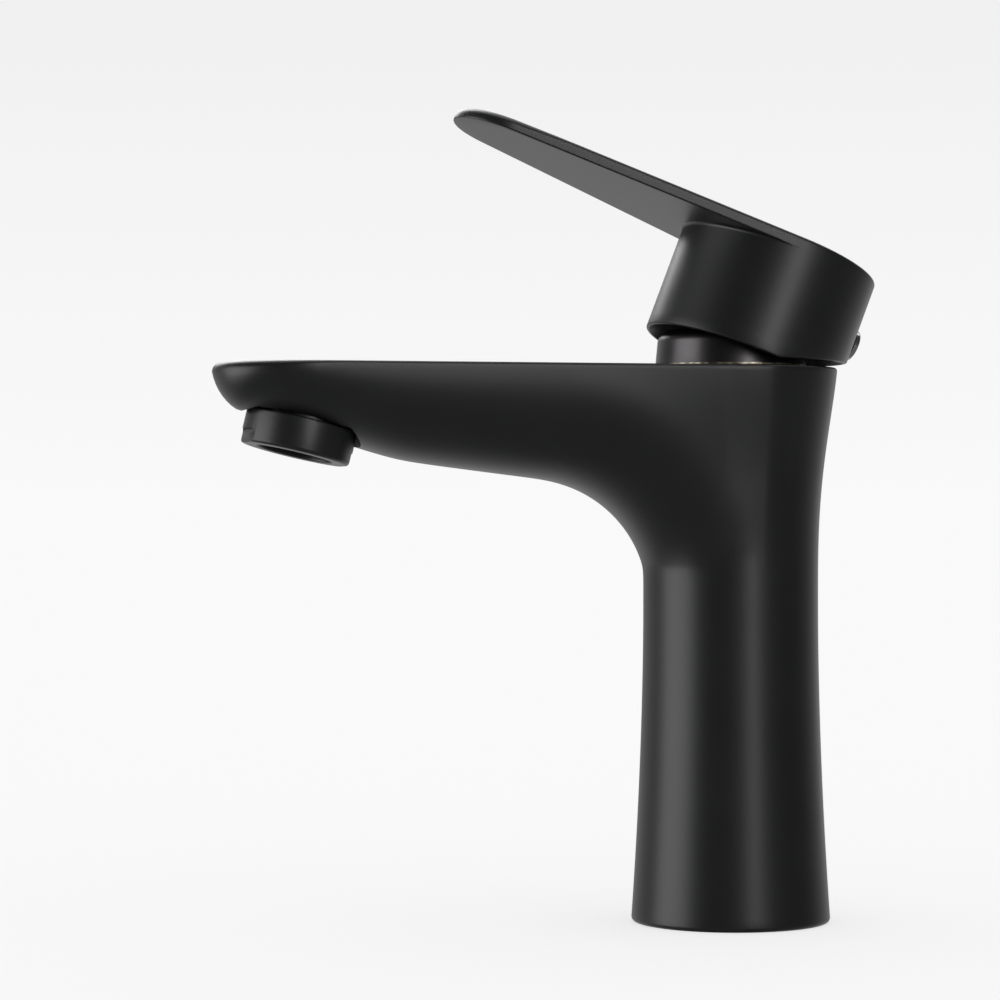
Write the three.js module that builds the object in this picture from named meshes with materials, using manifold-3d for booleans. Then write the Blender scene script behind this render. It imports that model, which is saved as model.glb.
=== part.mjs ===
// Single-lever bathroom mixer: a waisted round column that flares into a flat-topped spout, a ceramic-disc
// cartridge under a cover dome, a flat lever blade on a round cap, and the kit that clamps it to a deck.
// Millimetres, +Z up. The origin is the centre of the base on the deck. The spout points along -X.
import * as THREE from 'three';
import { mergeVertices } from 'three/addons/utils/BufferGeometryUtils.js';
import Module from 'manifold-3d';

const wasm = await Module();
wasm.setup();

// ---------------------------------------------------------------- driving dimensions
const GAP = 0.3;                 // clearance left between neighbouring pieces
const RUN = 0.3;                 // clearance round a piece that turns or slides
const THIN = 0.05;               // overlap that makes two joined solids one

// body casting
const bodyHeight = 138.9;
const baseRadius = 25;
const waistRadius = 21.93;
const waistHeight = 0.576 * bodyHeight;
const topRadius = 26.78;
const baseEdge = 1.2;            // rounding of the lower rim
const topEdge = 0.9;             // rounding of the upper rim
const columnWall = 3.4;
const grooveRadii = [baseRadius - 4.6, baseRadius - 1.8];  // of the seal groove under the base
const grooveDepth = 2;

// spout
const spoutReach = 133.2;
const spoutEndHalfWidth = 19.2;  // half width where the rounded end starts
const spoutEndDepth = 23;        // length of the rounded end
const elbowCentre = [52, bodyHeight - 60.9];  // centre of the elbow under the spout: distance out, height
const elbowRadius = 33.1;        // from that centre up to the straight underside
const elbowDrop = 0.8;           // how much less it is round most of the elbow
const underside = [spoutReach - 49.2, bodyHeight - 23.9];  // end of the straight underside
const seatSlope = 0.303;         // rise of the underside round the aerator
const noseStart = spoutReach - 6.8;  // where the underside turns up into the nose
const sidePower = 2.3;           // squareness of the spout's section

// aerator
const mouth = [20.1 - spoutReach, bodyHeight - 22.1];  // centre of the outlet: x, z
const mouthTilt = THREE.MathUtils.degToRad(13.6);
const aeratorRadius = 13.6;
const aeratorHeight = 8.3;       // visible collar
const aeratorSeatGap = 0.3;
const seatRadius = aeratorRadius + 1.5;
const aeratorThread = aeratorRadius - 1.9;
const threadLength = 8;
const aeratorBore = aeratorRadius - 3.6;
const lipRadius = aeratorBore - 0.7;
const flatDepth = 1.3;           // wrench flats
const flatHeight = 3.4;

// cartridge
const cartridgeRadius = 14;
const chamberFloor = bodyHeight - 32.9;
const portRadius = 3;
const inletPorts = [4.8, 7.2];   // x and y of the two inlets
const outletPort = -8;           // x of the outlet
const sealSection = 1.4;         // width of a port seal's ring
const sealPocket = 1.5;          // depth of its pocket
const cartridgeBaseHeight = 9.4;
const discRadius = cartridgeRadius - 1.7;
const discThickness = 3;
const movingDiscRadius = cartridgeRadius - 5;
const carrierHeight = 4;
const carrierHalf = [6, 6.2];
const housingWall = 1.3;
const rotorRadius = cartridgeRadius - 5;
const neckRadius = cartridgeRadius - 2.4;
const neckStart = bodyHeight - 7.9;
const nutThreadRadius = cartridgeRadius + 1.7;
const nutHeadHeight = 5;
const pivotHeight = bodyHeight - 4.9;
const pinRadius = 1.6;

// cover dome
const domeRadius = nutThreadRadius + 3.2;
const domeTopRadius = domeRadius - 0.5;
const domeHeight = bodyHeight + 9.5;
const domeShoulder = 3.5;
const domeWall = 1.1;
const domeMouth = domeRadius - 5.1;

// lever, in its own frame: h along the cap's axis from the pivot, l towards the rear
const leverTilt = THREE.MathUtils.degToRad(21.5);
const capRadius = domeRadius + 6.34;
const capWall = 3;
const capTop = 37.3;
const capRim = 7.3;
const rearRise = THREE.MathUtils.degToRad(20);
const bladeThickness = 3;
const bladeLength = 91.3;
const capEdge = 0.8;             // chamfer round the top of cap and blade
const bladeEndRadius = 13.5;
const bladeFillet = 3;
const bossRadius = 6.5;
const bossBottom = 17.6;
const stemHalf = 3;
const stemTop = 31;
const screwHeight = 22.4;
const screwRadius = 2.2;
const plugRadius = 3.6;
const plugProud = 1.9;

// deck and fixing kit
const deckThickness = 18;
const insertHeight = 10;
const studPlace = -8.5;
const studRadius = 3.7;
const studLength = 70;
const gasketThickness = 3;
const washerThickness = 2;
const horseshoeRadius = 23;
const horseshoeSlot = 14;
const nutFlats = 13;
const nutLength = 12;
const hosePortRadius = 4.6;
const tubeRadius = 4;

// ---------------------------------------------------------------- solids
function signedVolume(points, faces) {
  const a = new THREE.Vector3();
  const b = new THREE.Vector3();
  const c = new THREE.Vector3();
  let sum = 0;
  for (let i = 0; i < faces.length; i += 3) {
    a.fromArray(points, 3 * faces[i]);
    b.fromArray(points, 3 * faces[i + 1]);
    c.fromArray(points, 3 * faces[i + 2]);
    sum += a.dot(b.cross(c));
  }
  return sum;
}

// A closed geometry as a manifold solid, with its faces turned outwards.
function solid(geometry) {
  const bare = geometry.clone();
  bare.deleteAttribute('normal');
  bare.deleteAttribute('uv');
  const merged = mergeVertices(bare, 1e-4);
  const vertProperties = Float32Array.from(merged.attributes.position.array);
  const triVerts = Uint32Array.from(merged.index.array).filter((v, i, all) => {
    const k = i - (i % 3);
    return all[k] !== all[k + 1] && all[k + 1] !== all[k + 2] && all[k] !== all[k + 2];
  });
  if (signedVolume(vertProperties, triVerts) < 0) triVerts.reverse();
  return new wasm.Manifold(new wasm.Mesh({ numProp: 3, vertProperties, triVerts }));
}

function geometryOf(manifold) {
  const { vertProperties, triVerts, numProp } = manifold.getMesh();
  const place = new Float32Array(3 * (vertProperties.length / numProp));
  for (let i = 0; i < place.length; i += 1) place[i] = vertProperties[numProp * Math.floor(i / 3) + (i % 3)];
  const geometry = new THREE.BufferGeometry();
  geometry.setAttribute('position', new THREE.BufferAttribute(place, 3));
  geometry.setIndex(new THREE.BufferAttribute(Uint32Array.from(triVerts), 1));
  return geometry;
}

const join = (first, ...rest) => rest.reduce((sum, piece) => sum.add(piece), first);
const cut = (first, ...rest) => rest.reduce((sum, piece) => sum.subtract(piece), first);

// A profile of [radius, height] pairs turned round the Z axis through (x, y).
function revolve(profile, segments = 40, x = 0, y = 0) {
  const points = profile.map(([r, z]) => new THREE.Vector2(r, z));
  const geometry = new THREE.LatheGeometry(points, segments);
  geometry.rotateX(Math.PI / 2);
  return solid(geometry.translate(x, y, 0));
}

function rod(radius, low, high, segments = 32, x = 0, y = 0) {
  return revolve([[0, low], [radius, low], [radius, high], [0, high]], segments, x, y);
}

function ring(inner, outer, low, high, segments = 32, x = 0, y = 0) {
  return revolve([[inner, low], [outer, low], [outer, high], [inner, high], [inner, low]], segments, x, y);
}

function block([x0, x1], [y0, y1], [z0, z1]) {
  const geometry = new THREE.BoxGeometry(x1 - x0, y1 - y0, z1 - z0);
  return solid(geometry.translate((x0 + x1) / 2, (y0 + y1) / 2, (z0 + z1) / 2));
}

function extrude(shape, low, high, curveSegments = 12) {
  const depth = high - low;
  const geometry = new THREE.ExtrudeGeometry(shape, { depth, bevelEnabled: false, curveSegments });
  return solid(geometry.translate(0, 0, low));
}

// A regular prism with its flats a given distance apart.
function prism(flats, sides, low, high, x = 0, y = 0) {
  const radius = flats / 2 / Math.cos(Math.PI / sides);
  return rod(radius, low, high, sides, x, y);
}

// A solid made along Z, turned so that Z becomes the given direction, then moved.
function aim(manifold, matrix) {
  return manifold.transform(matrix.toArray());
}

// A rod along the Y axis, centred on (x, z).
function crossRod(radius, halfLength, x, z, segments = 20) {
  const matrix = new THREE.Matrix4().makeRotationX(Math.PI / 2).setPosition(x, 0, z);
  return aim(rod(radius, -halfLength, halfLength, segments), matrix);
}

// ---------------------------------------------------------------- body casting
const clamp = (t) => Math.min(Math.max(t, 0), 1);
const mix = (a, b, t) => a + (b - a) * t;
const smooth = (t) => t * t * (3 - 2 * t);

// Radius of the plain column at a height.
function columnRadius(z) {
  if (z < waistHeight) {
    return waistRadius + (baseRadius - waistRadius) * ((waistHeight - z) / waistHeight) ** 1.85;
  }
  const t = (z - waistHeight) / (bodyHeight - waistHeight);
  const swell = t ** 2 * (-0.124 + 2.103 * t - 0.979 * t ** 3);
  return waistRadius + (topRadius - waistRadius) * swell;
}

// The underside's centre line beyond the elbow: a straight run, the slope round the aerator, and the nose.
const elbowTop = elbowCentre[1] + elbowRadius;
const slopeStart = [underside[0] + 8, underside[1] + 1.85];
const noseFoot = slopeStart[1] + seatSlope * (noseStart - slopeStart[0]);
const nose = new THREE.CubicBezierCurve(
  new THREE.Vector2(noseStart, noseFoot),
  new THREE.Vector2(noseStart + 3.6, noseFoot + 1.4),
  new THREE.Vector2(spoutReach - 0.3, noseFoot + 4.4),
  new THREE.Vector2(spoutReach, bodyHeight),
);
const underLine = [
  [elbowCentre[0], elbowTop],
  underside,
  [underside[0] + 4, underside[1] + 0.75],
  slopeStart,
  ...nose.getPoints(16).map((p) => [p.x, p.y]),
];

function undersideHeight(s) {
  for (let i = 1; i < underLine.length; i += 1) {
    const [s0, z0] = underLine[i - 1];
    const [s1, z1] = underLine[i];
    if (s <= s1) return mix(z0, z1, (s - s0) / Math.max(s1 - s0, 1e-6));
  }
  return bodyHeight;
}

// Half width of the flat top at a distance out along the spout.
function topHalfWidth(s) {
  const endStart = spoutReach - spoutEndDepth;
  const side = mix(topRadius, spoutEndHalfWidth, clamp(s / endStart) ** 0.9);
  const end = clamp((s - endStart) / spoutEndDepth);
  return side * Math.sqrt(Math.max(1 - end ** 2.2, 0));
}

// Radius of the elbow as its sections fan from upright (0) to level (1), where they meet the column.
function bellyRadius(turn) {
  const rest = elbowRadius - elbowDrop - (elbowCentre[0] - waistRadius);
  return elbowRadius - elbowDrop * (1 - Math.exp(-7.7 * turn)) - rest * turn ** 7;
}

// Half width of the spout at a distance out and a height. Its sections stand in planes that fan about the
// elbow's centre: round where they meet the column, deeper and squarer under the flat top further out.
function spoutHalfWidth(s, z) {
  const out = Math.max(elbowCentre[0] - s, 0);
  const rise = z - elbowCentre[1];
  if (rise <= 0) return 0;
  const reach = Math.hypot(out, rise);
  const turn = Math.atan2(out, rise) / (Math.PI / 2);
  const belly = out > 0 ? bellyRadius(turn) : undersideHeight(s) - elbowCentre[1];
  const widest = mix(bodyHeight - elbowCentre[1], elbowCentre[0], turn);
  if (reach <= belly) return 0;
  const square = sidePower - 0.45 * smooth(clamp((s - spoutReach + 33.2) / 33));
  const power = mix(square, 2, turn);
  const drop = clamp((widest - reach) / (widest - belly));
  const flare = mix(columnRadius(z) / topRadius, 1, smooth(clamp(s / elbowCentre[0])));
  return topHalfWidth(s) * flare * (1 - drop ** power) ** (1 / power);
}

// Radius of the body in a direction from the column axis, at a height.
function bodyRadius(angle, z) {
  const column = columnRadius(z);
  const inside = (r) => Math.abs(r * Math.sin(angle)) < spoutHalfWidth(r * Math.cos(angle), z);
  if (Math.cos(angle) <= 0) return column;
  let low = 0;
  for (let r = column; r <= spoutReach + 1; r += 1) {
    if (inside(r)) low = r;
  }
  if (low === 0) return column;
  let high = low + 1;
  for (let i = 0; i < 12; i += 1) {
    const middle = (low + high) / 2;
    if (inside(middle)) low = middle;
    else high = middle;
  }
  return low;
}

// Directions round the column: close together towards the spout's end, wider apart at the back.
function bodyAngles() {
  const stops = [[12, 8], [32, 6], [100, 10], [180, 6]];
  const half = [0];
  stops.forEach(([stop, steps]) => {
    const from = half[half.length - 1];
    const to = THREE.MathUtils.degToRad(stop);
    for (let i = 1; i <= steps; i += 1) half.push(mix(from, to, i / steps));
  });
  return [...half.slice(1, -1).reverse().map((a) => -a), ...half];
}

// How far the outside draws in at a height to round its lower and upper rims.
function rimRounding(z) {
  const foot = clamp(1 - z / baseEdge);
  const head = clamp(1 - (bodyHeight - z) / topEdge);
  return baseEdge * (1 - Math.sqrt(1 - foot ** 2)) + topEdge * (1 - Math.sqrt(1 - head ** 2));
}

// Upright profile of the outside in one direction: even steps up the column, then even steps along the rest.
function bodyProfile(angle) {
  const at = (z) => [bodyRadius(angle, z) - rimRounding(z), z];
  const columnLevels = [0, 0.25, 1.2, 12, 26, 40, 54, 67];
  const line = [];
  const scan = 240;
  for (let i = 0; i <= scan; i += 1) line.push(at(mix(elbowCentre[1], bodyHeight, i / scan)));
  const edge = [topEdge, topEdge / 3].map((d) => at(bodyHeight - d));
  const run = resample(line.filter(([, z]) => z < bodyHeight - topEdge), 15);
  return [...columnLevels.map(at), ...run, ...edge.slice(1), at(bodyHeight)];
}

// The casting's outside, closed by the flat base and the flat top.
function bodyOutside() {
  const angles = bodyAngles();
  const columns = angles.map(bodyProfile);
  const count = columns[0].length;
  const points = [];
  const faces = [];
  columns.forEach((line, c) => line.forEach(([r, z]) => {
    points.push(-r * Math.cos(angles[c]), r * Math.sin(angles[c]), z);
  }));
  const bottom = points.push(0, 0, 0) / 3 - 1;
  const top = points.push(0, 0, bodyHeight) / 3 - 1;
  columns.forEach((line, c) => {
    const next = (c + 1) % columns.length;
    for (let r = 0; r < count - 1; r += 1) {
      const a = c * count + r;
      const b = next * count + r;
      faces.push(a, b, b + 1, a, b + 1, a + 1);
    }
    faces.push(bottom, next * count, c * count);
    faces.push(top, c * count + count - 1, next * count + count - 1);
  });
  const geometry = new THREE.BufferGeometry();
  geometry.setAttribute('position', new THREE.Float32BufferAttribute(points, 3));
  geometry.setIndex(faces);
  return solid(geometry);
}

// A polyline of [r, z] respaced to equal steps along its length.
function resample(line, steps) {
  const along = [0];
  for (let i = 1; i < line.length; i += 1) {
    along.push(along[i - 1] + Math.hypot(line[i][0] - line[i - 1][0], line[i][1] - line[i - 1][1]));
  }
  const total = along[along.length - 1];
  const result = [];
  let k = 1;
  for (let i = 0; i <= steps; i += 1) {
    const want = (total * i) / steps;
    while (k < line.length - 1 && along[k] < want) k += 1;
    const t = Math.min((want - along[k - 1]) / Math.max(along[k] - along[k - 1], 1e-9), 1);
    result.push([0, 1].map((j) => line[k - 1][j] + t * (line[k][j] - line[k - 1][j])));
  }
  return result;
}

// The aerator's frame: +Z up its axis, origin at the centre of the mouth.
const aeratorFrame = new THREE.Matrix4().makeRotationY(mouthTilt).setPosition(mouth[0], 0, mouth[1]);
const atAerator = (manifold) => aim(manifold, aeratorFrame);
const seatHeight = aeratorHeight + aeratorSeatGap;
const boreHeight = seatHeight + threadLength;
const housingTop = boreHeight - 1.6;
const lipHeight = 2.2;           // thickness of the lip that holds the insert

// The water's way from the chamber floor up through the spout to the aerator.
function waterway() {
  const end = new THREE.Vector3(0, 0, boreHeight - 4).applyMatrix4(aeratorFrame);
  const path = new THREE.CatmullRomCurve3([
    new THREE.Vector3(outletPort, 0, chamberFloor - 12),
    new THREE.Vector3(-26, 0, chamberFloor - 0.4),
    new THREE.Vector3(-0.375 * spoutReach, 0, chamberFloor + 14),
    new THREE.Vector3(-0.6 * spoutReach, 0, chamberFloor + 20),
    end,
  ]);
  const section = new THREE.Shape().absarc(0, 0, 3.4, 0, 2 * Math.PI);
  return solid(new THREE.ExtrudeGeometry(section, { steps: 16, curveSegments: 10, extrudePath: path }));
}

const insertRadius = baseRadius - 3.1 - columnWall;  // of the hollow that the insert fills
const hollowTop = chamberFloor - 18;
const sealPlaces = [[inletPorts[0], inletPorts[1]], [inletPorts[0], -inletPorts[1]], [outletPort, 0]];

function bodyCasting() {
  const socket = join(
    rod(seatRadius, -20, seatHeight, 36),
    rod(aeratorThread + GAP, seatHeight - THIN, boreHeight, 28),
  );
  return cut(
    bodyOutside(),
    rod(insertRadius, -1, hollowTop, 40),
    ring(...grooveRadii, -1, grooveDepth, 40),
    rod(cartridgeRadius + GAP, chamberFloor, bodyHeight + 1, 40),
    rod(nutThreadRadius + GAP, neckStart, bodyHeight + 1, 40),
    rod(portRadius, hollowTop - 1, chamberFloor + 1, 14, inletPorts[0], inletPorts[1]),
    rod(portRadius, hollowTop - 1, chamberFloor + 1, 14, inletPorts[0], -inletPorts[1]),
    rod(portRadius, chamberFloor - 12.5, chamberFloor + 1, 14, outletPort, 0),
    waterway(),
    atAerator(socket),
  );
}

// ---------------------------------------------------------------- base and fixing kit
function mountingInsert() {
  return cut(
    rod(insertRadius - GAP, 0, insertHeight, 40),
    rod(studRadius + GAP, -1, insertHeight + 1, 16, studPlace, 0),
    rod(hosePortRadius, -1, insertHeight + 1, 20, inletPorts[0], inletPorts[1]),
    rod(hosePortRadius, -1, insertHeight + 1, 20, inletPorts[0], -inletPorts[1]),
  );
}

function inletTube(side) {
  const low = insertHeight + GAP;
  const high = hollowTop - GAP;
  return ring(portRadius, tubeRadius, low, high, 16, inletPorts[0], side * inletPorts[1]);
}

const baseSeal = () => ring(grooveRadii[0] + GAP, grooveRadii[1] - GAP, 0, grooveDepth - GAP, 40);
const studLow = insertHeight - 1 - studLength;
const mountingStud = () => rod(studRadius, studLow, insertHeight - 1, 16, studPlace, 0);

// A disc with a slot for the hoses, open on the side away from the spout.
function horseshoe(low, high) {
  const slot = block([-2, horseshoeRadius + 5], [-horseshoeSlot, horseshoeSlot], [low - 1, high + 1]);
  const hole = rod(studRadius + GAP, low - 1, high + 1, 16, studPlace, 0);
  return cut(rod(horseshoeRadius, low, high, 36), slot, hole);
}

const gasketLow = -deckThickness - gasketThickness;
const washerLow = gasketLow - GAP - washerThickness;
const nutTop = washerLow - GAP;

function studNut() {
  const hex = prism(nutFlats, 6, nutTop - nutLength, nutTop, studPlace, 0);
  return cut(hex, rod(studRadius + GAP, nutTop - nutLength - 1, nutTop + 1, 16, studPlace, 0));
}

// ---------------------------------------------------------------- aerator
function aeratorHousing() {
  const wall = [
    [lipRadius, 0.6], [lipRadius + 0.6, 0], [aeratorRadius - 1.1, 0], [aeratorRadius - 0.3, 0.35],
    [aeratorRadius, 1.2], [aeratorRadius, aeratorHeight - 0.6], [aeratorRadius - 0.6, aeratorHeight],
    [aeratorThread, aeratorHeight], [aeratorThread, housingTop], [aeratorBore, housingTop],
    [aeratorBore, lipHeight], [lipRadius, lipHeight], [lipRadius, 0.6],
  ];
  const side = aeratorRadius - flatDepth;
  const reach = aeratorRadius + 1;
  return atAerator(cut(
    revolve(wall, 36),
    block([-reach, -side], [-reach, reach], [-1, flatHeight]),
    block([side, reach], [-reach, reach], [-1, flatHeight]),
  ));
}

function aeratorInsert() {
  const holeRing = 0.56 * aeratorBore;
  const core = rod(aeratorBore - GAP, lipHeight + GAP, boreHeight - 3, 28);
  const holes = [0, 1, 2, 3, 4, 5].map((i) => {
    const a = (Math.PI * i) / 3;
    return rod(0.2 * aeratorBore, 1, boreHeight, 12, holeRing * Math.cos(a), holeRing * Math.sin(a));
  });
  return atAerator(cut(core, rod(0.24 * aeratorBore, 1, boreHeight, 14), ...holes));
}

const aeratorGasket = () => atAerator(
  ring(aeratorBore - 2, aeratorThread - 0.4, housingTop + GAP, boreHeight - GAP, 28),
);

// ---------------------------------------------------------------- cartridge
const baseLow = chamberFloor + GAP;
const baseHigh = chamberFloor + cartridgeBaseHeight;
const fixedLow = baseHigh + GAP;
const fixedHigh = fixedLow + discThickness;
const movingLow = fixedHigh + GAP;
const movingHigh = movingLow + discThickness;
const carrierLow = movingHigh + GAP;
const carrierHigh = carrierLow + carrierHeight;
const housingShelf = carrierHigh + 0.6;
const strokeArm = pivotHeight - (carrierHigh - 1);
const discShift = -strokeArm * Math.sin(leverTilt);

function cartridgeBase() {
  const pocket = sealPlaces.map(([x, y]) => join(
    rod(portRadius, baseLow - 1, baseHigh + 1, 14, x, y),
    rod(portRadius + sealSection + GAP, baseLow - 1, baseLow + sealPocket, 20, x, y),
  ));
  return cut(rod(cartridgeRadius, baseLow, baseHigh, 40), ...pocket);
}

const portSeal = ([x, y]) => (
  ring(portRadius, portRadius + sealSection, baseLow, baseLow + sealPocket - GAP, 20, x, y)
);

function fixedDisc() {
  const ports = sealPlaces.map(([x, y]) => rod(portRadius - 0.4, fixedLow - 1, fixedHigh + 1, 14, x, y));
  return cut(rod(discRadius, fixedLow, fixedHigh, 36), ...ports);
}

function movingDisc() {
  const hollow = rod(movingDiscRadius - 2.4, movingLow - 1, movingLow + 1.8, 24);
  return cut(rod(movingDiscRadius, movingLow, movingHigh, 32), hollow).translate([discShift, 0, 0]);
}

function discCarrier() {
  const [halfX, halfY] = carrierHalf;
  const plate = block([-halfX, halfX], [-halfY, halfY], [carrierLow, carrierHigh]);
  return cut(plate, rod(3.1, carrierLow + 1, carrierHigh + 1, 18)).translate([discShift, 0, 0]);
}

function cartridgeHousing() {
  const bore = rotorRadius + RUN;
  const high = bodyHeight + 2;
  return revolve([
    [cartridgeRadius - housingWall, fixedLow], [cartridgeRadius, fixedLow], [cartridgeRadius, neckStart - 1],
    [neckRadius, neckStart - 1], [neckRadius, high], [bore, high], [bore, housingShelf],
    [cartridgeRadius - housingWall, housingShelf], [cartridgeRadius - housingWall, fixedLow],
  ], 40);
}

// Turns with the lever: a barrel with two cheeks that steer the disc carrier.
function rotor() {
  const low = carrierLow + 0.4;
  const cheekTop = housingShelf - RUN;
  const window = carrierHalf[1] + RUN;
  return cut(
    join(rod(rotorRadius, low, bodyHeight + 5, 36), rod(discRadius - 0.1, low, cheekTop, 36)),
    block([-20, 20], [-window, window], [low - 1, cheekTop]),
    block([-6.9, 7.6], [-stemHalf - RUN, stemHalf + RUN], [low, bodyHeight + 6]),
    crossRod(pinRadius + RUN, 20, 0, pivotHeight, 14),
  );
}

const pivotPin = () => crossRod(pinRadius, rotorRadius - 0.4, 0, pivotHeight, 14);

function cartridgeNut() {
  const head = bodyHeight + GAP;
  const low = neckStart + GAP;
  const top = head + nutHeadHeight;
  const inner = neckRadius + GAP;
  const thread = ring(inner, nutThreadRadius, low, head + THIN, 36);
  const crown = ring(inner, nutThreadRadius + 0.5, head, top, 36);
  const notches = [0, 1, 2, 3, 4, 5].map((i) => {
    const matrix = new THREE.Matrix4().makeRotationZ((Math.PI * i) / 3);
    return aim(block([neckRadius + 2, nutThreadRadius + 2.3], [-1.6, 1.6], [head + 2.4, top + 1]), matrix);
  });
  return cut(join(thread, crown), ...notches);
}

const domeSeal = () => (
  ring(nutThreadRadius + 0.8, domeRadius - domeWall - GAP, bodyHeight + 0.8, bodyHeight + 2.2, 36)
);

function coverDome() {
  const low = bodyHeight + GAP;
  const outer = [];
  for (let i = 0; i <= 6; i += 1) {
    const a = (Math.PI / 2) * (i / 6);
    const r = domeTopRadius - domeShoulder * (1 - Math.cos(a));
    outer.push([r, domeHeight - domeShoulder * (1 - Math.sin(a))]);
  }
  return revolve([
    [domeRadius - domeWall, low], [domeRadius, low], ...outer, [domeMouth, domeHeight],
    [domeMouth, domeHeight - domeWall], [domeTopRadius - domeShoulder, domeHeight - domeWall],
    [domeTopRadius - domeWall, domeHeight - domeShoulder - 0.4], [domeRadius - domeWall, low],
  ], 40);
}

// ---------------------------------------------------------------- lever
// Outline of the blade from above: straight sides that leave the cap as tangents, and a round end.
function bladeOutline(inset = 0) {
  const span = bladeLength - bladeEndRadius;
  const lean = Math.asin((capRadius - bladeEndRadius) / span);
  const side = Math.PI / 2 + lean;
  const root = capRadius - inset;
  const shape = new THREE.Shape();
  shape.moveTo(root * Math.cos(side), -root * Math.sin(side));
  shape.lineTo(root * Math.cos(side), root * Math.sin(side));
  shape.absarc(-span, 0, bladeEndRadius - inset, side, 2 * Math.PI - side, false);
  return shape;
}

function leverHandle() {
  const bladeLow = capTop - bladeThickness;
  const shoulder = capTop - capEdge;
  const cap = revolve([
    [0, capRim], [capRadius, capRim], [capRadius, shoulder], [capRadius - capEdge, capTop], [0, capTop],
  ], 56);
  const shell = cut(cap, rod(capRadius - capWall, capRim - 1, bladeLow, 48));
  const blade = wasm.Manifold.hull([
    extrude(bladeOutline(), bladeLow, shoulder, 16),
    extrude(bladeOutline(capEdge), bladeLow, capTop, 16),
  ]);
  const footprint = extrude(bladeOutline(), bladeLow - bladeFillet - 1, capTop - 1, 16);
  const web = bladeWeb(bladeLow).intersect(footprint);
  const boss = rod(bossRadius, bossBottom, bladeLow + THIN, 28);
  const rearMatrix = new THREE.Matrix4().makeRotationY(-rearRise).setPosition(0, 0, capRim);
  const rearCut = aim(block([0, 60], [-40, 40], [-40, 0]), rearMatrix);
  const socket = stemHalf + GAP;
  return cut(
    join(shell, blade, web, boss),
    rearCut,
    block([-socket, socket], [-socket, socket], [bossBottom - 1, stemTop + GAP]),
    along(rod(screwRadius + GAP, 0, bossRadius + 2, 16), screwHeight),
    along(rod(plugRadius - 0.6, bossRadius, capRadius + 3, 20), screwHeight),
  );
}

// The hollow curve between the blade's underside and the front of the cap.
function bladeWeb(bladeLow) {
  const back = capRadius - capWall + THIN;
  const profile = [[back, bladeLow + 1], [back, bladeLow - bladeFillet]];
  for (let i = 0; i <= 6; i += 1) {
    const a = (Math.PI / 2) * (i / 6);
    profile.push([
      capRadius - 0.3 + bladeFillet * (1 - Math.cos(a)),
      bladeLow - bladeFillet * (1 - Math.sin(a)),
    ]);
  }
  profile.push([capRadius - 0.3 + bladeFillet, bladeLow + 1], [back, bladeLow + 1]);
  const front = block([-60, 0], [-60, 60], [0, 60]);
  return revolve(profile, 56).intersect(front);
}

// A rod made along Z, laid along +l at a height of the lever's frame.
function along(manifold, height) {
  return aim(manifold, new THREE.Matrix4().makeRotationY(Math.PI / 2).setPosition(0, 0, height));
}

function leverStem() {
  const foot = strokeArm + 1;
  return cut(
    join(
      block([-stemHalf, stemHalf], [-stemHalf, stemHalf], [-4, stemTop]),
      rod(2, -foot, -3.9, 16),
      revolve([[0, -foot - 0.6], [1.8, -foot], [2.6, 1.2 - foot], [2, 2.6 - foot], [0, 2.6 - foot]], 18),
    ),
    crossRod(pinRadius + RUN, 10, 0, 0, 14),
  );
}

const grubScrew = () => along(rod(screwRadius, stemHalf + GAP, bossRadius, 16), screwHeight);

function screwCover() {
  const tip = capRadius + plugProud;
  const stalk = revolve([
    [0, capRadius - capWall - 0.6], [plugRadius - 0.6 - GAP, capRadius - capWall - 0.6],
    [plugRadius - 0.6 - GAP, capRadius + GAP + 0.4], [plugRadius, capRadius + GAP + 0.4],
    [plugRadius, tip - 0.7], [plugRadius - 0.7, tip], [0, tip],
  ], 24);
  return along(stalk, screwHeight);
}

// ---------------------------------------------------------------- assembly
const faucet = new THREE.Group();
const lever = new THREE.Group();
lever.position.set(0, 0, pivotHeight);
lever.rotation.y = leverTilt;
faucet.add(lever);

const finishes = {
  black: { color: 0x1f2020, roughness: 0.45, metalness: 0.3 },
  nickel: { color: 0x3a3a3d, roughness: 0.12, metalness: 1 },
  brass: { color: 0xb89a5a, roughness: 0.35, metalness: 1 },
  steel: { color: 0xa9abad, roughness: 0.35, metalness: 1 },
  copper: { color: 0xb8734a, roughness: 0.35, metalness: 1 },
  rubber: { color: 0x161616, roughness: 0.8, metalness: 0 },
  acetal: { color: 0xe4e3dc, roughness: 0.5, metalness: 0 },
  grey: { color: 0x5b6066, roughness: 0.55, metalness: 0 },
  ceramic: { color: 0xf3f1ea, roughness: 0.2, metalness: 0 },
};

function add(name, finish, manifold, parent = faucet) {
  const mesh = new THREE.Mesh(geometryOf(manifold), new THREE.MeshStandardMaterial(finishes[finish]));
  mesh.name = name;
  parent.add(mesh);
}

add('faucet_body', 'black', bodyCasting());
add('mounting_insert', 'brass', mountingInsert());
add('hot_inlet_tube', 'copper', inletTube(1));
add('cold_inlet_tube', 'copper', inletTube(-1));
add('base_seal', 'rubber', baseSeal());
add('mounting_stud', 'steel', mountingStud());
add('deck_gasket', 'rubber', horseshoe(gasketLow, -deckThickness));
add('deck_washer', 'steel', horseshoe(washerLow, washerLow + washerThickness));
add('stud_nut', 'brass', studNut());

add('aerator_housing', 'black', aeratorHousing());
add('aerator_insert', 'grey', aeratorInsert());
add('aerator_gasket', 'rubber', aeratorGasket());

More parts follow.
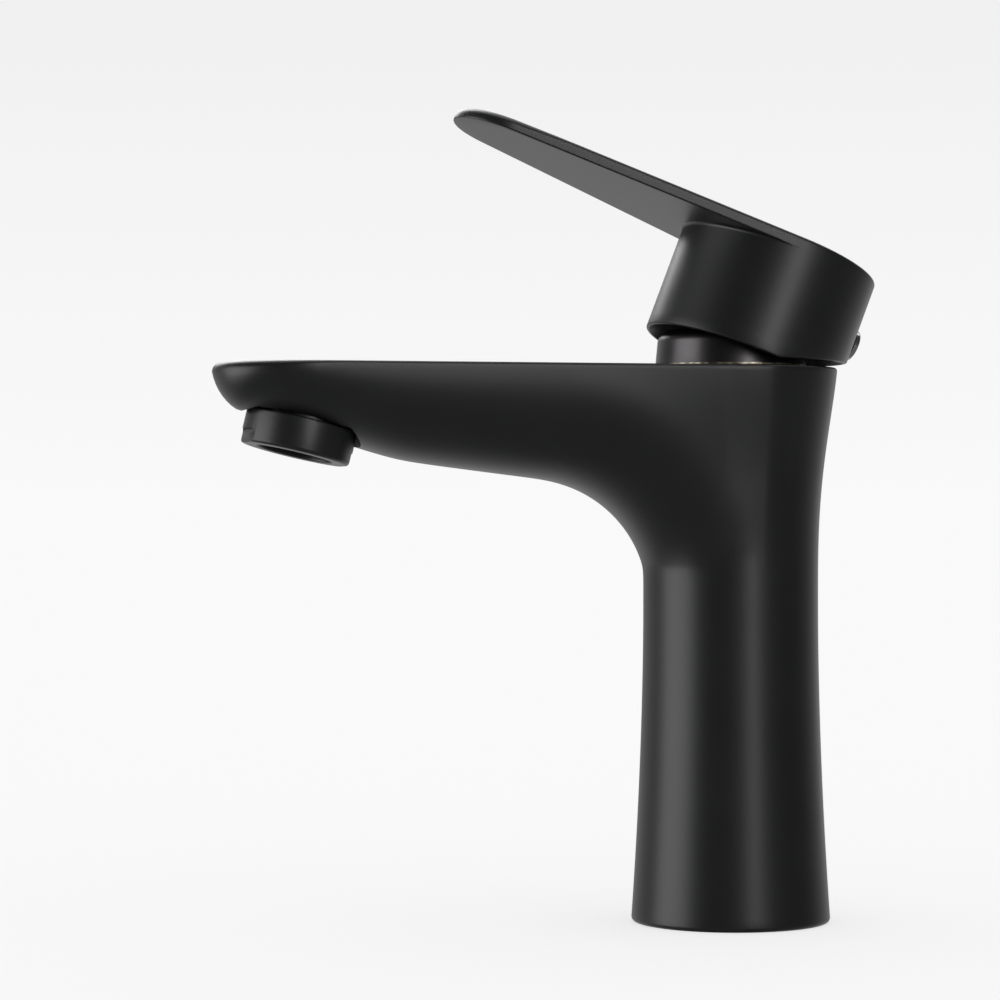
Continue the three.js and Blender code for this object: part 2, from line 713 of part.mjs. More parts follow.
add('cartridge_base', 'acetal', cartridgeBase());
['hot_port_seal', 'cold_port_seal', 'outlet_port_seal'].forEach((name, i) => {
  add(name, 'rubber', portSeal(sealPlaces[i]));
});
add('fixed_ceramic_disc', 'ceramic', fixedDisc());
add('moving_ceramic_disc', 'ceramic', movingDisc());
add('disc_carrier', 'grey', discCarrier());
add('cartridge_housing', 'acetal', cartridgeHousing());
add('cartridge_rotor', 'grey', rotor());
add('pivot_pin', 'steel', pivotPin());
add('cartridge_nut', 'brass', cartridgeNut());
add('dome_seal', 'rubber', domeSeal());
add('cover_dome', 'nickel', coverDome());

add('lever_handle', 'black', leverHandle(), lever);
add('lever_stem', 'steel', leverStem(), lever);
add('grub_screw', 'steel', grubScrew(), lever);
add('screw_cover', 'nickel', screwCover(), lever);

export default faucet;
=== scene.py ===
"""Looks of a single-lever bathroom mixer: satin black shell, lever, dome, aerator and fixing kit.

Shapes are worked out in millimetres, in the CAD's frame: origin at the base's centre on the deck, +Z up, the
spout along -X. Meshes are written in metres.
"""
import logging
import math
from dataclasses import dataclass, field
from enum import Enum
from typing import Sequence

import bmesh
import bpy
import numpy as np
from mathutils import Matrix, Vector


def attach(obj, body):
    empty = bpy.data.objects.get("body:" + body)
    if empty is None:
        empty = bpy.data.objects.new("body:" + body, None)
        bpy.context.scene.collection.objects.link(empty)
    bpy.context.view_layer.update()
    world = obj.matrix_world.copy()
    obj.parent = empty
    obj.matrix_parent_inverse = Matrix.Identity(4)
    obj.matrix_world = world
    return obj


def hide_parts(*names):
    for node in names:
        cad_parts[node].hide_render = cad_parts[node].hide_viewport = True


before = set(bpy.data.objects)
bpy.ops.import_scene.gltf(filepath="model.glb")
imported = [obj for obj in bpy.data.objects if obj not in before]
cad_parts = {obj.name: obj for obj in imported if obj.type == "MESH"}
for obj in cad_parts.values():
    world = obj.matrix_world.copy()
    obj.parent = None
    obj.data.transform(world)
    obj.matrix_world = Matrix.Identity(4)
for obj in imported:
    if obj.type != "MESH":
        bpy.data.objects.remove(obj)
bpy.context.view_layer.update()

log = logging.getLogger("faucet")
MM = 0.001
CIRCLE = 2.0 * math.pi
WHITE = (1.0, 1.0, 1.0, 1.0)
SAME_POINT = 2e-7       # metres: corners of a new skin nearer than this are one
CUT_SAME_POINT = 2e-6   # metres: the same after a boolean cut
NO_LENGTH = 1e-8        # metres: an edge shorter than this is dropped
PATCH_STOPS = (0.3, 0.7)  # noise levels where a finish is fully its darker and its lighter colour
Array = np.ndarray


class Body(str, Enum):
    """The CAD bodies that new pieces ride on."""

    FIXED = "body"
    LEVER = "lever"


# ------------------------------------------------------------------------------------------ small maths
def mix(a: Array | float, b: Array | float, t: Array | float) -> Array | float:
    """Straight blend from a to b as t goes from 0 to 1."""
    return a + (b - a) * t


def smooth(t: Array | float) -> Array | float:
    """Cubic step that starts and ends level: 3t^2 - 2t^3 of t held between 0 and 1."""
    t = np.clip(t, 0.0, 1.0)
    return t * t * (3.0 - 2.0 * t)


def turn_angles(count: int) -> Array:
    """Angles of one full turn, evenly spaced, without the repeated end."""
    return np.linspace(0.0, CIRCLE, count, endpoint=False)


def outline_normals(outline: Array) -> Array:
    """Unit normals of a closed plan outline that point into it.

    Args:
        outline: Points, one row each, in order round the shape, shape (n, 2).
    Returns:
        The tangent by central difference, turned a quarter towards the middle, shape (n, 2).
    """
    along = np.roll(outline, -1, axis=0) - np.roll(outline, 1, axis=0)
    along /= np.linalg.norm(along, axis=1)[:, None]
    normal = np.stack([-along[:, 1], along[:, 0]], axis=1)
    inward = np.sum(normal * outline, axis=1) < 0.0
    normal[~inward] *= -1.0
    return normal


# ------------------------------------------------------------------------------------------ mesh making
def grid_mesh(name: str, rows: Array, soft_angle: float = 35.0) -> bpy.types.Object:
    """A closed skin from rings of points, the first and last ring closed by a fan to its middle.

    Args:
        name: The piece's name.
        rows: Ring points in millimetres, shape (rings, points round, 3).
        soft_angle: Edges that bend by more than this many degrees stay crisp.
    Returns:
        The linked object, at the origin, with normals outwards.
    """
    rings, around, _ = rows.shape
    points = rows.reshape(-1, 3)
    ends = np.stack([rows[0].mean(axis=0), rows[-1].mean(axis=0)])
    index = np.arange(rings * around).reshape(rings, around)
    following = np.roll(index, -1, axis=1)
    quads = np.stack([index[:-1], following[:-1], following[1:], index[1:]], axis=-1).reshape(-1, 4)
    first = np.stack([np.full(around, points.shape[0]), following[0], index[0]], axis=-1)
    last = np.stack([np.full(around, points.shape[0] + 1), index[-1], following[-1]], axis=-1)
    return loose_mesh(name, np.vstack([points, ends]), [quads, np.vstack([first, last])], soft_angle)


def ring_quads(rings: int, around: int) -> Array:
    """Corner numbers of the quads between neighbouring rings, where the last ring joins the first."""
    index = np.arange(rings * around).reshape(rings, around)
    following = np.roll(index, -1, axis=1)
    above = np.roll(index, -1, axis=0)
    return np.stack([index, following, np.roll(following, -1, axis=0), above], axis=-1).reshape(-1, 4)


def ring_mesh(name: str, rows: Array, soft_angle: float = 35.0) -> bpy.types.Object:
    """A closed ring-shaped skin: the last ring of points joins the first one."""
    return loose_mesh(name, rows.reshape(-1, 3), [ring_quads(*rows.shape[:2])], soft_angle)


def loose_mesh(name: str, points: Array, face_sets: Sequence[Array], soft_angle: float) -> bpy.types.Object:
    """Writes points and faces into a new mesh object, merges doubles and turns the faces outwards.

    Args:
        name: The piece's name.
        points: Corners in millimetres, shape (n, 3).
        face_sets: Arrays of corner numbers, each of one face size.
        soft_angle: Edges that bend by more than this many degrees stay crisp.
    Returns:
        The linked object.
    """
    mesh = bpy.data.meshes.new(name)
    corners = np.concatenate([faces.reshape(-1) for faces in face_sets])
    sizes = np.concatenate([np.full(len(faces), faces.shape[1]) for faces in face_sets])
    mesh.vertices.add(len(points))
    mesh.vertices.foreach_set("co", (points * MM).astype(np.float32).reshape(-1))
    mesh.loops.add(len(corners))
    mesh.loops.foreach_set("vertex_index", corners.astype(np.int32))
    mesh.polygons.add(len(sizes))
    mesh.polygons.foreach_set("loop_start", (np.cumsum(sizes) - sizes).astype(np.int32))
    mesh.update(calc_edges=True)
    piece = bpy.data.objects.new(name, mesh)
    bpy.context.scene.collection.objects.link(piece)
    clean(piece, soft_angle)
    return piece


def shade(mesh: bpy.types.Mesh, soft_angle: float) -> None:
    """Shades a mesh smooth, except across edges that bend by more than an angle in degrees."""
    mesh.polygons.foreach_set("use_smooth", [True] * len(mesh.polygons))
    mesh.set_sharp_from_angle(angle=math.radians(soft_angle))


def clean(piece: bpy.types.Object, soft_angle: float) -> None:
    """Merges doubles, drops faces with no area, turns normals outwards and sets the shading."""
    work = bmesh.new()
    work.from_mesh(piece.data)
    bmesh.ops.remove_doubles(work, verts=work.verts, dist=SAME_POINT)
    bmesh.ops.dissolve_degenerate(work, edges=work.edges, dist=NO_LENGTH)
    bmesh.ops.recalc_face_normals(work, faces=work.faces)
    work.to_mesh(piece.data)
    work.free()
    shade(piece.data, soft_angle)
    piece.data.update()


def spin_rows(profile: Sequence[tuple[float, float]], around: int = 96) -> Array:
    """Rings of a turned profile: x = r cos a, y = r sin a, z = h for each (r, h) pair."""
    angle = turn_angles(around)
    pairs = np.asarray(profile, float)
    radius = np.maximum(pairs[:, 0], 1e-4)[:, None]
    height = np.broadcast_to(pairs[:, 1][:, None], (len(pairs), around))
    return np.stack([radius * np.cos(angle), radius * np.sin(angle), height], axis=-1)


def arc(centre: tuple[float, float], radius: float, start: float, stop: float, steps: int = 6) -> list:
    """Points of a circular arc in a profile.

    Args:
        centre: The arc's centre as (r, h).
        radius: Its radius.
        start: First angle in degrees, from the r axis towards h.
        stop: Last angle in degrees.
        steps: Number of stretches.
    Returns:
        The (r, h) pairs.
    """
    angles = np.radians(np.linspace(start, stop, steps + 1))
    return [(centre[0] + radius * math.cos(a), centre[1] + radius * math.sin(a)) for a in angles]


def placed(rows: Array, matrix: Matrix) -> Array:
    """Points moved by a matrix whose shift is in millimetres."""
    full = np.array(matrix)
    return rows @ full[:3, :3].T + full[:3, 3]


def carve(piece: bpy.types.Object, cutter: bpy.types.Object, soft_angle: float = 35.0) -> None:
    """Takes the cutter's solid out of the piece for good, and removes the cutter."""
    modifier = piece.modifiers.new("carve", "BOOLEAN")
    modifier.operation = "DIFFERENCE"
    modifier.solver = "EXACT"
    modifier.object = cutter
    graph = bpy.context.evaluated_depsgraph_get()
    result = bpy.data.meshes.new_from_object(piece.evaluated_get(graph))
    piece.modifiers.remove(modifier)
    old = piece.data
    piece.data = result
    result.name = piece.name
    bpy.data.meshes.remove(old)
    bpy.data.objects.remove(cutter, do_unlink=True)
    work = bmesh.new()
    work.from_mesh(piece.data)
    bmesh.ops.remove_doubles(work, verts=work.verts, dist=CUT_SAME_POINT)
    work.to_mesh(piece.data)
    work.free()
    shade(piece.data, soft_angle)


# ------------------------------------------------------------------------------------------ finishes
def linear(hex_colour: str) -> tuple[float, float, float, float]:
    """An sRGB hex colour such as "1d1e1e" as linear red, green, blue and alpha."""
    channels = [int(hex_colour[i:i + 2], 16) / 255.0 for i in (0, 2, 4)]
    values = [c / 12.92 if c <= 0.04045 else ((c + 0.055) / 1.055) ** 2.4 for c in channels]
    return (values[0], values[1], values[2], 1.0)


def add_node(tree: bpy.types.NodeTree, kind: str, inputs: dict | None = None,
             **settings: object) -> bpy.types.Node:
    """Adds one shader node with its settings, values and links.

    Args:
        tree: The node tree.
        kind: The node's type name.
        inputs: Socket name or number to a value, or to the output socket that feeds it.
        settings: Attributes to set on the node.
    Returns:
        The new node.
    """
    node = tree.nodes.new(kind)
    for key, value in settings.items():
        setattr(node, key, value)
    for key, value in (inputs or {}).items():
        if isinstance(value, bpy.types.NodeSocket):
            tree.links.new(value, node.inputs[key])
        else:
            node.inputs[key].default_value = value
    return node


@dataclass(frozen=True)
class Finish:
    """A surface with faint mottling, a matching change of gloss and a fine relief.

    Attributes:
        name: The material's name.
        light: sRGB hex of the lighter patches.
        dark: sRGB hex of the darker patches.
        rough: Lowest and highest roughness.
        metal: Metallic value.
        grain_mm: Size of one bump of the relief.
        relief_mm: Height of the relief.
        patch_mm: Size of the mottled patches.
        ior: Index of refraction, only for a finish that isn't metal.
        coat: Clear coat weight and roughness, or nothing.
        stretch: Scale of the grain along X, Y and Z, which draws it into lines.
    """

    name: str
    light: str
    dark: str
    rough: tuple[float, float]
    metal: float = 0.0
    grain_mm: float = 0.5
    relief_mm: float = 0.01
    patch_mm: float = 12.0
    ior: float = 1.5
    coat: tuple[float, float] | None = None
    stretch: tuple[float, float, float] = (1.0, 1.0, 1.0)

    def build(self) -> bpy.types.Material:
        """Makes the material's nodes on Object coordinates and returns it."""
        material = bpy.data.materials.new(self.name)
        material.use_nodes = True
        tree = material.node_tree
        tree.nodes.clear()
        place = add_node(tree, "ShaderNodeTexCoord").outputs["Object"]
        lined = add_node(tree, "ShaderNodeMapping",
                         {"Vector": place, "Scale": self.stretch}).outputs["Vector"]
        patch = add_node(tree, "ShaderNodeTexNoise",
                         {"Vector": place, "Scale": 1.0 / (self.patch_mm * MM), "Detail": 3.0}).outputs["Fac"]
        grain = add_node(tree, "ShaderNodeTexNoise",
                         {"Vector": lined, "Scale": 1.0 / (self.grain_mm * MM), "Detail": 2.0}).outputs["Fac"]
        ramp = add_node(tree, "ShaderNodeValToRGB", {"Fac": patch})
        for number, colour in enumerate((self.dark, self.light)):
            ramp.color_ramp.elements[number].color = linear(colour)
            ramp.color_ramp.elements[number].position = PATCH_STOPS[number]
        gloss = add_node(tree, "ShaderNodeMapRange",
                         {"Value": grain, "To Min": self.rough[0], "To Max": self.rough[1]}).outputs["Result"]
        relief = add_node(tree, "ShaderNodeBump", {"Height": grain, "Distance": self.relief_mm * MM,
                                                   "Strength": 1.0}).outputs["Normal"]
        shader = add_node(tree, "ShaderNodeBsdfPrincipled",
                          {"Base Color": ramp.outputs["Color"], "Metallic": self.metal, "Roughness": gloss,
                           "Normal": relief})
        if self.metal < 0.5:
            shader.inputs["IOR"].default_value = self.ior
        if self.coat:
            shader.inputs["Coat Weight"].default_value = self.coat[0]
            shader.inputs["Coat Roughness"].default_value = self.coat[1]
        add_node(tree, "ShaderNodeOutputMaterial", {"Surface": shader.outputs["BSDF"]})
        return material


# Brass casting with a baked satin black coat, sprayed: fine orange peel that breaks highlights softly.
SATIN_BLACK = Finish("satin_black_coat", "171818", "131414", (0.36, 0.42), grain_mm=0.45, relief_mm=0.0012,
                     patch_mm=18.0)
# Electroplated black nickel over polished brass: dark mirror with a warm-grey cast.
BLACK_NICKEL = Finish("black_nickel_plate", "4d4b4c", "444244", (0.30, 0.38), metal=1.0, grain_mm=0.8,
                      relief_mm=0.0006, patch_mm=9.0)
# Bright nickel plate on a small turned trim ring.
BRIGHT_NICKEL = Finish("bright_nickel_plate", "c9c9cb", "b9b9bc", (0.16, 0.24), metal=1.0, grain_mm=0.3,
                       relief_mm=0.0006, patch_mm=3.0)
# Machined brass: fine turning lines and a slightly uneven yellow.
BRASS = Finish("machined_brass", "c9a25e", "b48b49", (0.22, 0.38), metal=1.0, grain_mm=0.3, relief_mm=0.002,
               patch_mm=6.0, stretch=(0.3, 0.3, 3.0))
# Bare brass edge with plating rubbed off in spots: broken glints.
WORN_BRASS = Finish("worn_plated_brass", "c9c0ac", "2c2a27", (0.15, 0.60), metal=1.0, grain_mm=0.35,
                    relief_mm=0.05, patch_mm=1.6)
# Drawn copper tube, a little oxidised.
COPPER = Finish("drawn_copper", "c47d55", "a8633f", (0.25, 0.40), metal=1.0, grain_mm=0.4, relief_mm=0.002,
                patch_mm=8.0, stretch=(3.0, 3.0, 0.2))
# Zinc-plated or stainless steel with turning marks.
STEEL = Finish("machined_steel", "b5b7b9", "9a9c9f", (0.25, 0.40), metal=1.0, grain_mm=0.25, relief_mm=0.002,
               patch_mm=7.0, stretch=(0.3, 0.3, 3.0))
# Moulded NBR rubber: dull, slightly dusty black.
RUBBER = Finish("nitrile_rubber", "1e1e1d", "151515", (0.65, 0.80), grain_mm=0.35, relief_mm=0.006,
                patch_mm=5.0)
# Moulded acetal: milky white with a soft moulded gloss.
ACETAL = Finish("white_acetal", "e9e7df", "dedcd3", (0.38, 0.50), grain_mm=0.5, relief_mm=0.003, patch_mm=8.0,
                ior=1.48)
# Glass-filled nylon: mid grey with faint fibre mottling.
GREY_NYLON = Finish("grey_nylon", "5a5e63", "4d5155", (0.42, 0.58), grain_mm=0.3, relief_mm=0.004,
                    patch_mm=3.0, ior=1.53)
# Dark moulded plastic of the flow straightener and the screw plug.
DARK_PLASTIC = Finish("dark_moulded_plastic", "1b1c1e", "141516", (0.40, 0.55), grain_mm=0.3, relief_mm=0.003,
                      patch_mm=3.0)
# Lapped alumina: hard white with a waxy sheen.
ALUMINA = Finish("lapped_alumina", "f1efe8", "e8e5dc", (0.12, 0.22), grain_mm=0.2, relief_mm=0.0006,
                 patch_mm=4.0, ior=1.76)


class Wardrobe:
    """Builds each finish once and puts it on pieces and on CAD nodes."""

    def __init__(self) -> None:
        """Starts with nothing built."""
        self.built: dict[str, bpy.types.Material] = {}

    def get(self, finish: Finish) -> bpy.types.Material:
        """The finish's material, made on first use."""
        if finish.name not in self.built:
            self.built[finish.name] = finish.build()
        return self.built[finish.name]

    def dress(self, piece: bpy.types.Object, finish: Finish) -> None:
        """Gives every slot of a piece one finish."""
        if not piece.material_slots:
            piece.data.materials.append(self.get(finish))
        for slot in piece.material_slots:
            slot.material = self.get(finish)

    def fit(self, piece: bpy.types.Object, finish: Finish, body: Body, slot: str, *nodes: str) -> None:
        """Dresses a new piece, makes it ride on a body and lets it stand for CAD nodes.

        Args:
            piece: The new piece.
            finish: Its finish.
            body: The CAD body that it moves with.
            slot: The record's material slot; not used.
            nodes: CAD nodes that it replaces.
        """
        self.dress(piece, finish)
        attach(piece, body.value)
        if nodes:
            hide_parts(*nodes)
        log.info("%s: %d faces, %s", piece.name, len(piece.data.polygons), finish.name)


# ------------------------------------------------------------------------------------------ body casting
@dataclass
class Casting:
    """The black shell: a waisted column that sweeps through an elbow into a flat-topped spout."""

    height: float = 138.9
    base_radius: float = 25.0
    waist_radius: float = 21.93
    waist_height: float = 80.0
    top_radius: float = 26.78
    base_edge: float = 1.2
    top_edge: float = 0.8
    nose_edge: float = 2.3
    blend: float = 2.0
    reach: float = 133.2
    end_half_width: float = 19.2
    end_depth: float = 23.0
    elbow: tuple[float, float] = (52.0, 78.0)
    elbow_radius: float = 33.1
    elbow_drop: float = 0.8
    elbow_haste: float = 7.7
    neck_soft: float = 4.0
    straight_slope: float = 0.119
    seat_line: tuple[float, float, float] = (92.0, 116.85, 0.303)
    nose_start: float = 126.4
    side_power: float = 2.3
    nose_power_loss: float = 0.45
    nose_run: tuple[float, float] = (100.0, 33.0)
    bore: float = 16.0
    chamber: float = 14.3
    chamber_floor: float = 106.0
    shelf: float = 131.0
    hollow_top: float = 88.0
    hollow: float = 18.5
    half_columns: int = 190

    def column_radius(self, z: Array) -> Array:
        """Plain column: a power curve from base to waist, then t^2 (-0.124 + 2.103 t - 0.979 t^3) upwards."""
        low = np.clip((self.waist_height - z) / self.waist_height, 0.0, 1.0)
        high = np.clip((z - self.waist_height) / (self.height - self.waist_height), 0.0, 1.0)
        lower = self.waist_radius + (self.base_radius - self.waist_radius) * low ** 1.85
        swell = high ** 2 * (-0.124 + 2.103 * high - 0.979 * high ** 3)
        upper = self.waist_radius + (self.top_radius - self.waist_radius) * swell
        return np.where(z < self.waist_height, lower, upper)

    def underside(self, s: Array) -> Array:
        """Height of the belly's centre line beyond the elbow.

        Two straight lines joined by a hyperbola, then a nose that turns up to the tip as a quarter ellipse.

        Args:
            s: Distance out from the column axis.
        Returns:
            Height of the underside.
        """
        straight = self.elbow[1] + self.elbow_radius + self.straight_slope * (s - self.elbow[0])
        out, level, slope = self.seat_line
        sloped = level + slope * (s - out)
        belly = (straight + sloped) / 2.0 + np.sqrt(((straight - sloped) / 2.0) ** 2 + 0.2)
        t = np.clip((s - self.nose_start) / (self.reach - self.nose_start), 0.0, 1.0)
        foot = level + slope * (self.nose_start - out)
        turned = foot + (self.height - foot) * (1.0 - np.sqrt(np.clip(1.0 - t ** 1.35, 0.0, 1.0)))
        return np.where(s < self.nose_start, belly, np.maximum(turned, foot))

    def top_half_width(self, s: Array) -> Array:
        """Half width of the flat top: a slow taper, closed by a super-elliptic round end."""
        start = self.reach - self.end_depth
        side = mix(self.top_radius, self.end_half_width, np.clip(s / start, 0.0, 1.0) ** 0.9)
        end = np.clip((s - start) / self.end_depth, 0.0, 1.0)
        return side * np.sqrt(np.clip(1.0 - end ** 2.2, 0.0, 1.0))

    def belly_radius(self, turn: Array) -> Array:
        """Elbow radius as its section fans from upright (0) to level (1).

        It falls by the drop early on, as 1 - exp(-haste turn), and by the rest as turn^7 at the column.
        """
        rest = self.elbow_radius - self.elbow_drop - (self.elbow[0] - self.waist_radius)
        early = self.elbow_drop * (1.0 - np.exp(-self.elbow_haste * turn))
        return self.elbow_radius - early - rest * turn ** 7

    def spout_half_width(self, s: Array, z: Array) -> Array:
        """Half width of the spout at a distance out and a height.

        Sections stand in planes that fan about the elbow's centre. Below its widest line a section is a
        superellipse, round at the column and squarer under the flat top further out.

        Args:
            s: Distance out from the column axis.
            z: Height.
        Returns:
            Half width, 0 outside the spout.
        """
        out = np.maximum(self.elbow[0] - s, 0.0)
        rise = z - self.elbow[1]
        reach = np.hypot(out, np.maximum(rise, 0.0))
        turn = np.arctan2(out, np.maximum(rise, 1e-9)) / (math.pi / 2.0)
        belly = np.where(out > 0.0, self.belly_radius(turn), self.underside(s) - self.elbow[1])
        widest = mix(self.height - self.elbow[1], self.elbow[0], turn)
        nose_start, nose_length = self.nose_run
        square = self.side_power - self.nose_power_loss * smooth((s - nose_start) / nose_length)
        power = mix(square, 2.0, turn)
        drop = np.clip((widest - reach) / np.maximum(widest - belly, 1e-6), 0.0, 1.0)
        flare = mix(self.column_radius(z) / self.top_radius, 1.0, smooth(s / self.elbow[0]))
        width = self.top_half_width(s) * flare * (1.0 - drop ** power) ** (1.0 / power)
        return np.where((rise > 0.0) & (reach > belly), width, 0.0)

    def radius(self, angle: Array, z: Array) -> Array:
        """Radius of the outside by direction and height.

        The spout's radius is found by halving. Column and spout are joined by a soft maximum: the larger of
        the two plus (k - gap)^2 / 4k where the gap between them is less than k.
        """
        column = self.column_radius(z)
        low = np.zeros(np.broadcast(angle, z).shape)
        high = np.full_like(low, self.reach + 2.0)
        toward = np.cos(angle)
        for _ in range(40):
            middle = (low + high) / 2.0
            width = self.spout_half_width(middle * toward, z)
            inside = np.abs(middle * np.sin(angle)) < width
            low = np.where(inside, middle, low)
            high = np.where(inside, high, middle)
        spout = np.where(toward > 0.0, low, np.minimum(low, column))
        soft = self.blend * smooth((z - self.elbow[1] - 10.0) / 20.0) * smooth((toward + 0.35) / 0.35)
        near = np.maximum(soft - np.abs(spout - column), 0.0)
        return np.maximum(column, spout) + near ** 2 / np.maximum(4.0 * soft, 1e-9)

    def soften_foot(self, radii: Array, scan: Array) -> Array:
        """Averages each direction's profile over a window of height, wide at the elbow's foot, nil above it.

        The mean over a window is the difference of the profile's running area at its ends over its height.

        Args:
            radii: Radius by height and direction.
            scan: The heights, in the same shape.
        Returns:
            The radii, with the kink where the elbow leaves the column rounded off.
        """
        softened = np.empty_like(radii)
        for i in range(radii.shape[1]):
            z, r = scan[:, i], radii[:, i]
            area = np.concatenate([[0.0], np.cumsum((r[1:] + r[:-1]) / 2.0 * np.diff(z))])
            window = np.maximum(self.neck_soft * (1.0 - smooth((z - self.elbow[1] - 5.0) / 10.0)), 0.02)
            upper, lower = np.minimum(z + window, z[-1]), np.maximum(z - window, z[0])
            softened[:, i] = (np.interp(upper, z, area) - np.interp(lower, z, area)) / (upper - lower)
        return softened

    def edge_radius(self, angle: Array) -> Array:
        """Rounding of the top edge by direction: small round the column, larger round the nose."""
        out = self.radius(angle, np.full_like(angle, self.height - 0.05)) * np.cos(angle)
        return mix(self.top_edge, self.nose_edge, smooth((out - 104.0) / 28.0))

    def directions(self) -> Array:
        """Directions round the column axis, spaced by the top outline's length and by angle together."""
        angle = np.linspace(0.0, math.pi, 3000)
        radius = self.radius(angle, np.full_like(angle, self.height - 0.05))
        x, y = radius * np.cos(angle), radius * np.sin(angle)
        length = np.concatenate([[0.0], np.cumsum(np.hypot(np.diff(x), np.diff(y)))])
        measure = 0.68 * length / length[-1] + 0.32 * angle / math.pi
        half = np.interp(np.linspace(0.0, 1.0, self.half_columns + 1), measure, angle)
        return np.concatenate([half, -half[1:-1][::-1]])

    def side_rows(self, angle: Array) -> Array:
        """Rings up the outside from the base rim to the foot of the top edge.

        Column rings are level. From just under the elbow each direction's profile is cut into equal lengths.

        Args:
            angle: Directions round the axis.
        Returns:
            Ring points, shape (rings, directions, 3).
        """
        foot = self.base_edge * (1.0 - np.cos(np.linspace(0.0, math.pi / 2.0, 7)))
        joint = self.elbow[1] - self.neck_soft - 1.0
        levels = np.concatenate([foot, np.linspace(self.base_edge, joint, 38)[1:]])
        below = np.clip(self.base_edge - levels, 0.0, None)
        inset = self.base_edge - np.sqrt(self.base_edge ** 2 - below ** 2)
        column = np.repeat((self.column_radius(levels) - inset)[:, None], len(angle), axis=1)
        heights = np.repeat(levels[:, None], len(angle), axis=1)
        share = np.linspace(0.0, 1.0, 1200)[:, None] ** 0.85
        scan = mix(joint, (self.height - self.edge_radius(angle))[None, :], share)
        radii = self.soften_foot(self.radius(angle[None, :], scan), scan)
        step = np.hypot(np.diff(radii, axis=0), np.diff(scan, axis=0))
        length = np.vstack([np.zeros(len(angle)), np.cumsum(step, axis=0)])
        share = np.linspace(0.0, 1.0, 92)[1:]
        upper_r = np.empty((len(share), len(angle)))
        upper_z = np.empty_like(upper_r)
        for i in range(len(angle)):
            along = length[:, i] / length[-1, i]
            upper_r[:, i] = np.interp(share, along, radii[:, i])
            upper_z[:, i] = np.interp(share, along, scan[:, i])
        radius = np.vstack([column, upper_r])
        height = np.vstack([heights, upper_z])
        return np.stack([-radius * np.cos(angle), radius * np.sin(angle), height], axis=-1)

    def inner_rows(self, angle: Array) -> Array:
        """Rings from the hollow's ceiling down inside the column and out under the base rim."""
        groove, depth = (self.base_radius - 4.6, self.base_radius - 1.8), 2.0
        profile = [(0.5, self.hollow_top), (self.hollow * 0.6, self.hollow_top)]
        profile += [(self.hollow, self.hollow_top), (self.hollow, 40.0), (self.hollow, 0.4)]
        profile += [(self.hollow + 0.4, 0.0), (groove[0], 0.0), (groove[0], depth)]
        profile += [(groove[1], depth), (groove[1], 0.0)]
        return self.level_rings(profile, angle)

    def chamber_rows(self, angle: Array) -> Array:
        """Rings from the mouth of the cartridge bore down to the chamber's floor."""
        profile = [(self.bore + 0.4, self.height), (self.bore, self.height - 0.4), (self.bore, self.shelf)]
        profile += [(self.chamber, self.shelf), (self.chamber, self.chamber_floor), (0.5, self.chamber_floor)]
        return self.level_rings(profile, angle)

    @staticmethod
    def level_rings(profile: Sequence[tuple[float, float]], angle: Array) -> Array:
        """Level circles of (radius, height) pairs in the given directions."""
        pairs = np.asarray(profile)
        radius = pairs[:, 0][:, None]
        height = np.repeat(pairs[:, 1][:, None], len(angle), axis=1)
        return np.stack([-radius * np.cos(angle), radius * np.sin(angle), height], axis=-1)

    def build(self) -> bpy.types.Object:
        """Joins hollow, outside, rounded top edge, flat top and chamber into one skin."""
        angle = self.directions()
        side = self.side_rows(angle)
        rim = side[-1, :, :2]
        inward = outline_normals(rim)
        turn = np.linspace(0.0, math.pi / 2.0, 9)[1:]
        round_off = self.edge_radius(angle)
        edge = [np.column_stack([rim + inward * (round_off * (1.0 - math.cos(t)))[:, None],
                                 self.height - round_off * (1.0 - math.sin(t))]) for t in turn]
        mouth = self.chamber_rows(angle)
        shares = np.linspace(0.0, 1.0, 14)[1:-1]
        top = [mix(edge[-1], mouth[0], t) for t in shares]
        rows = np.concatenate([self.inner_rows(angle), side, np.stack(edge), np.stack(top), mouth])
        return grid_mesh("body_shell", rows, soft_angle=50.0)


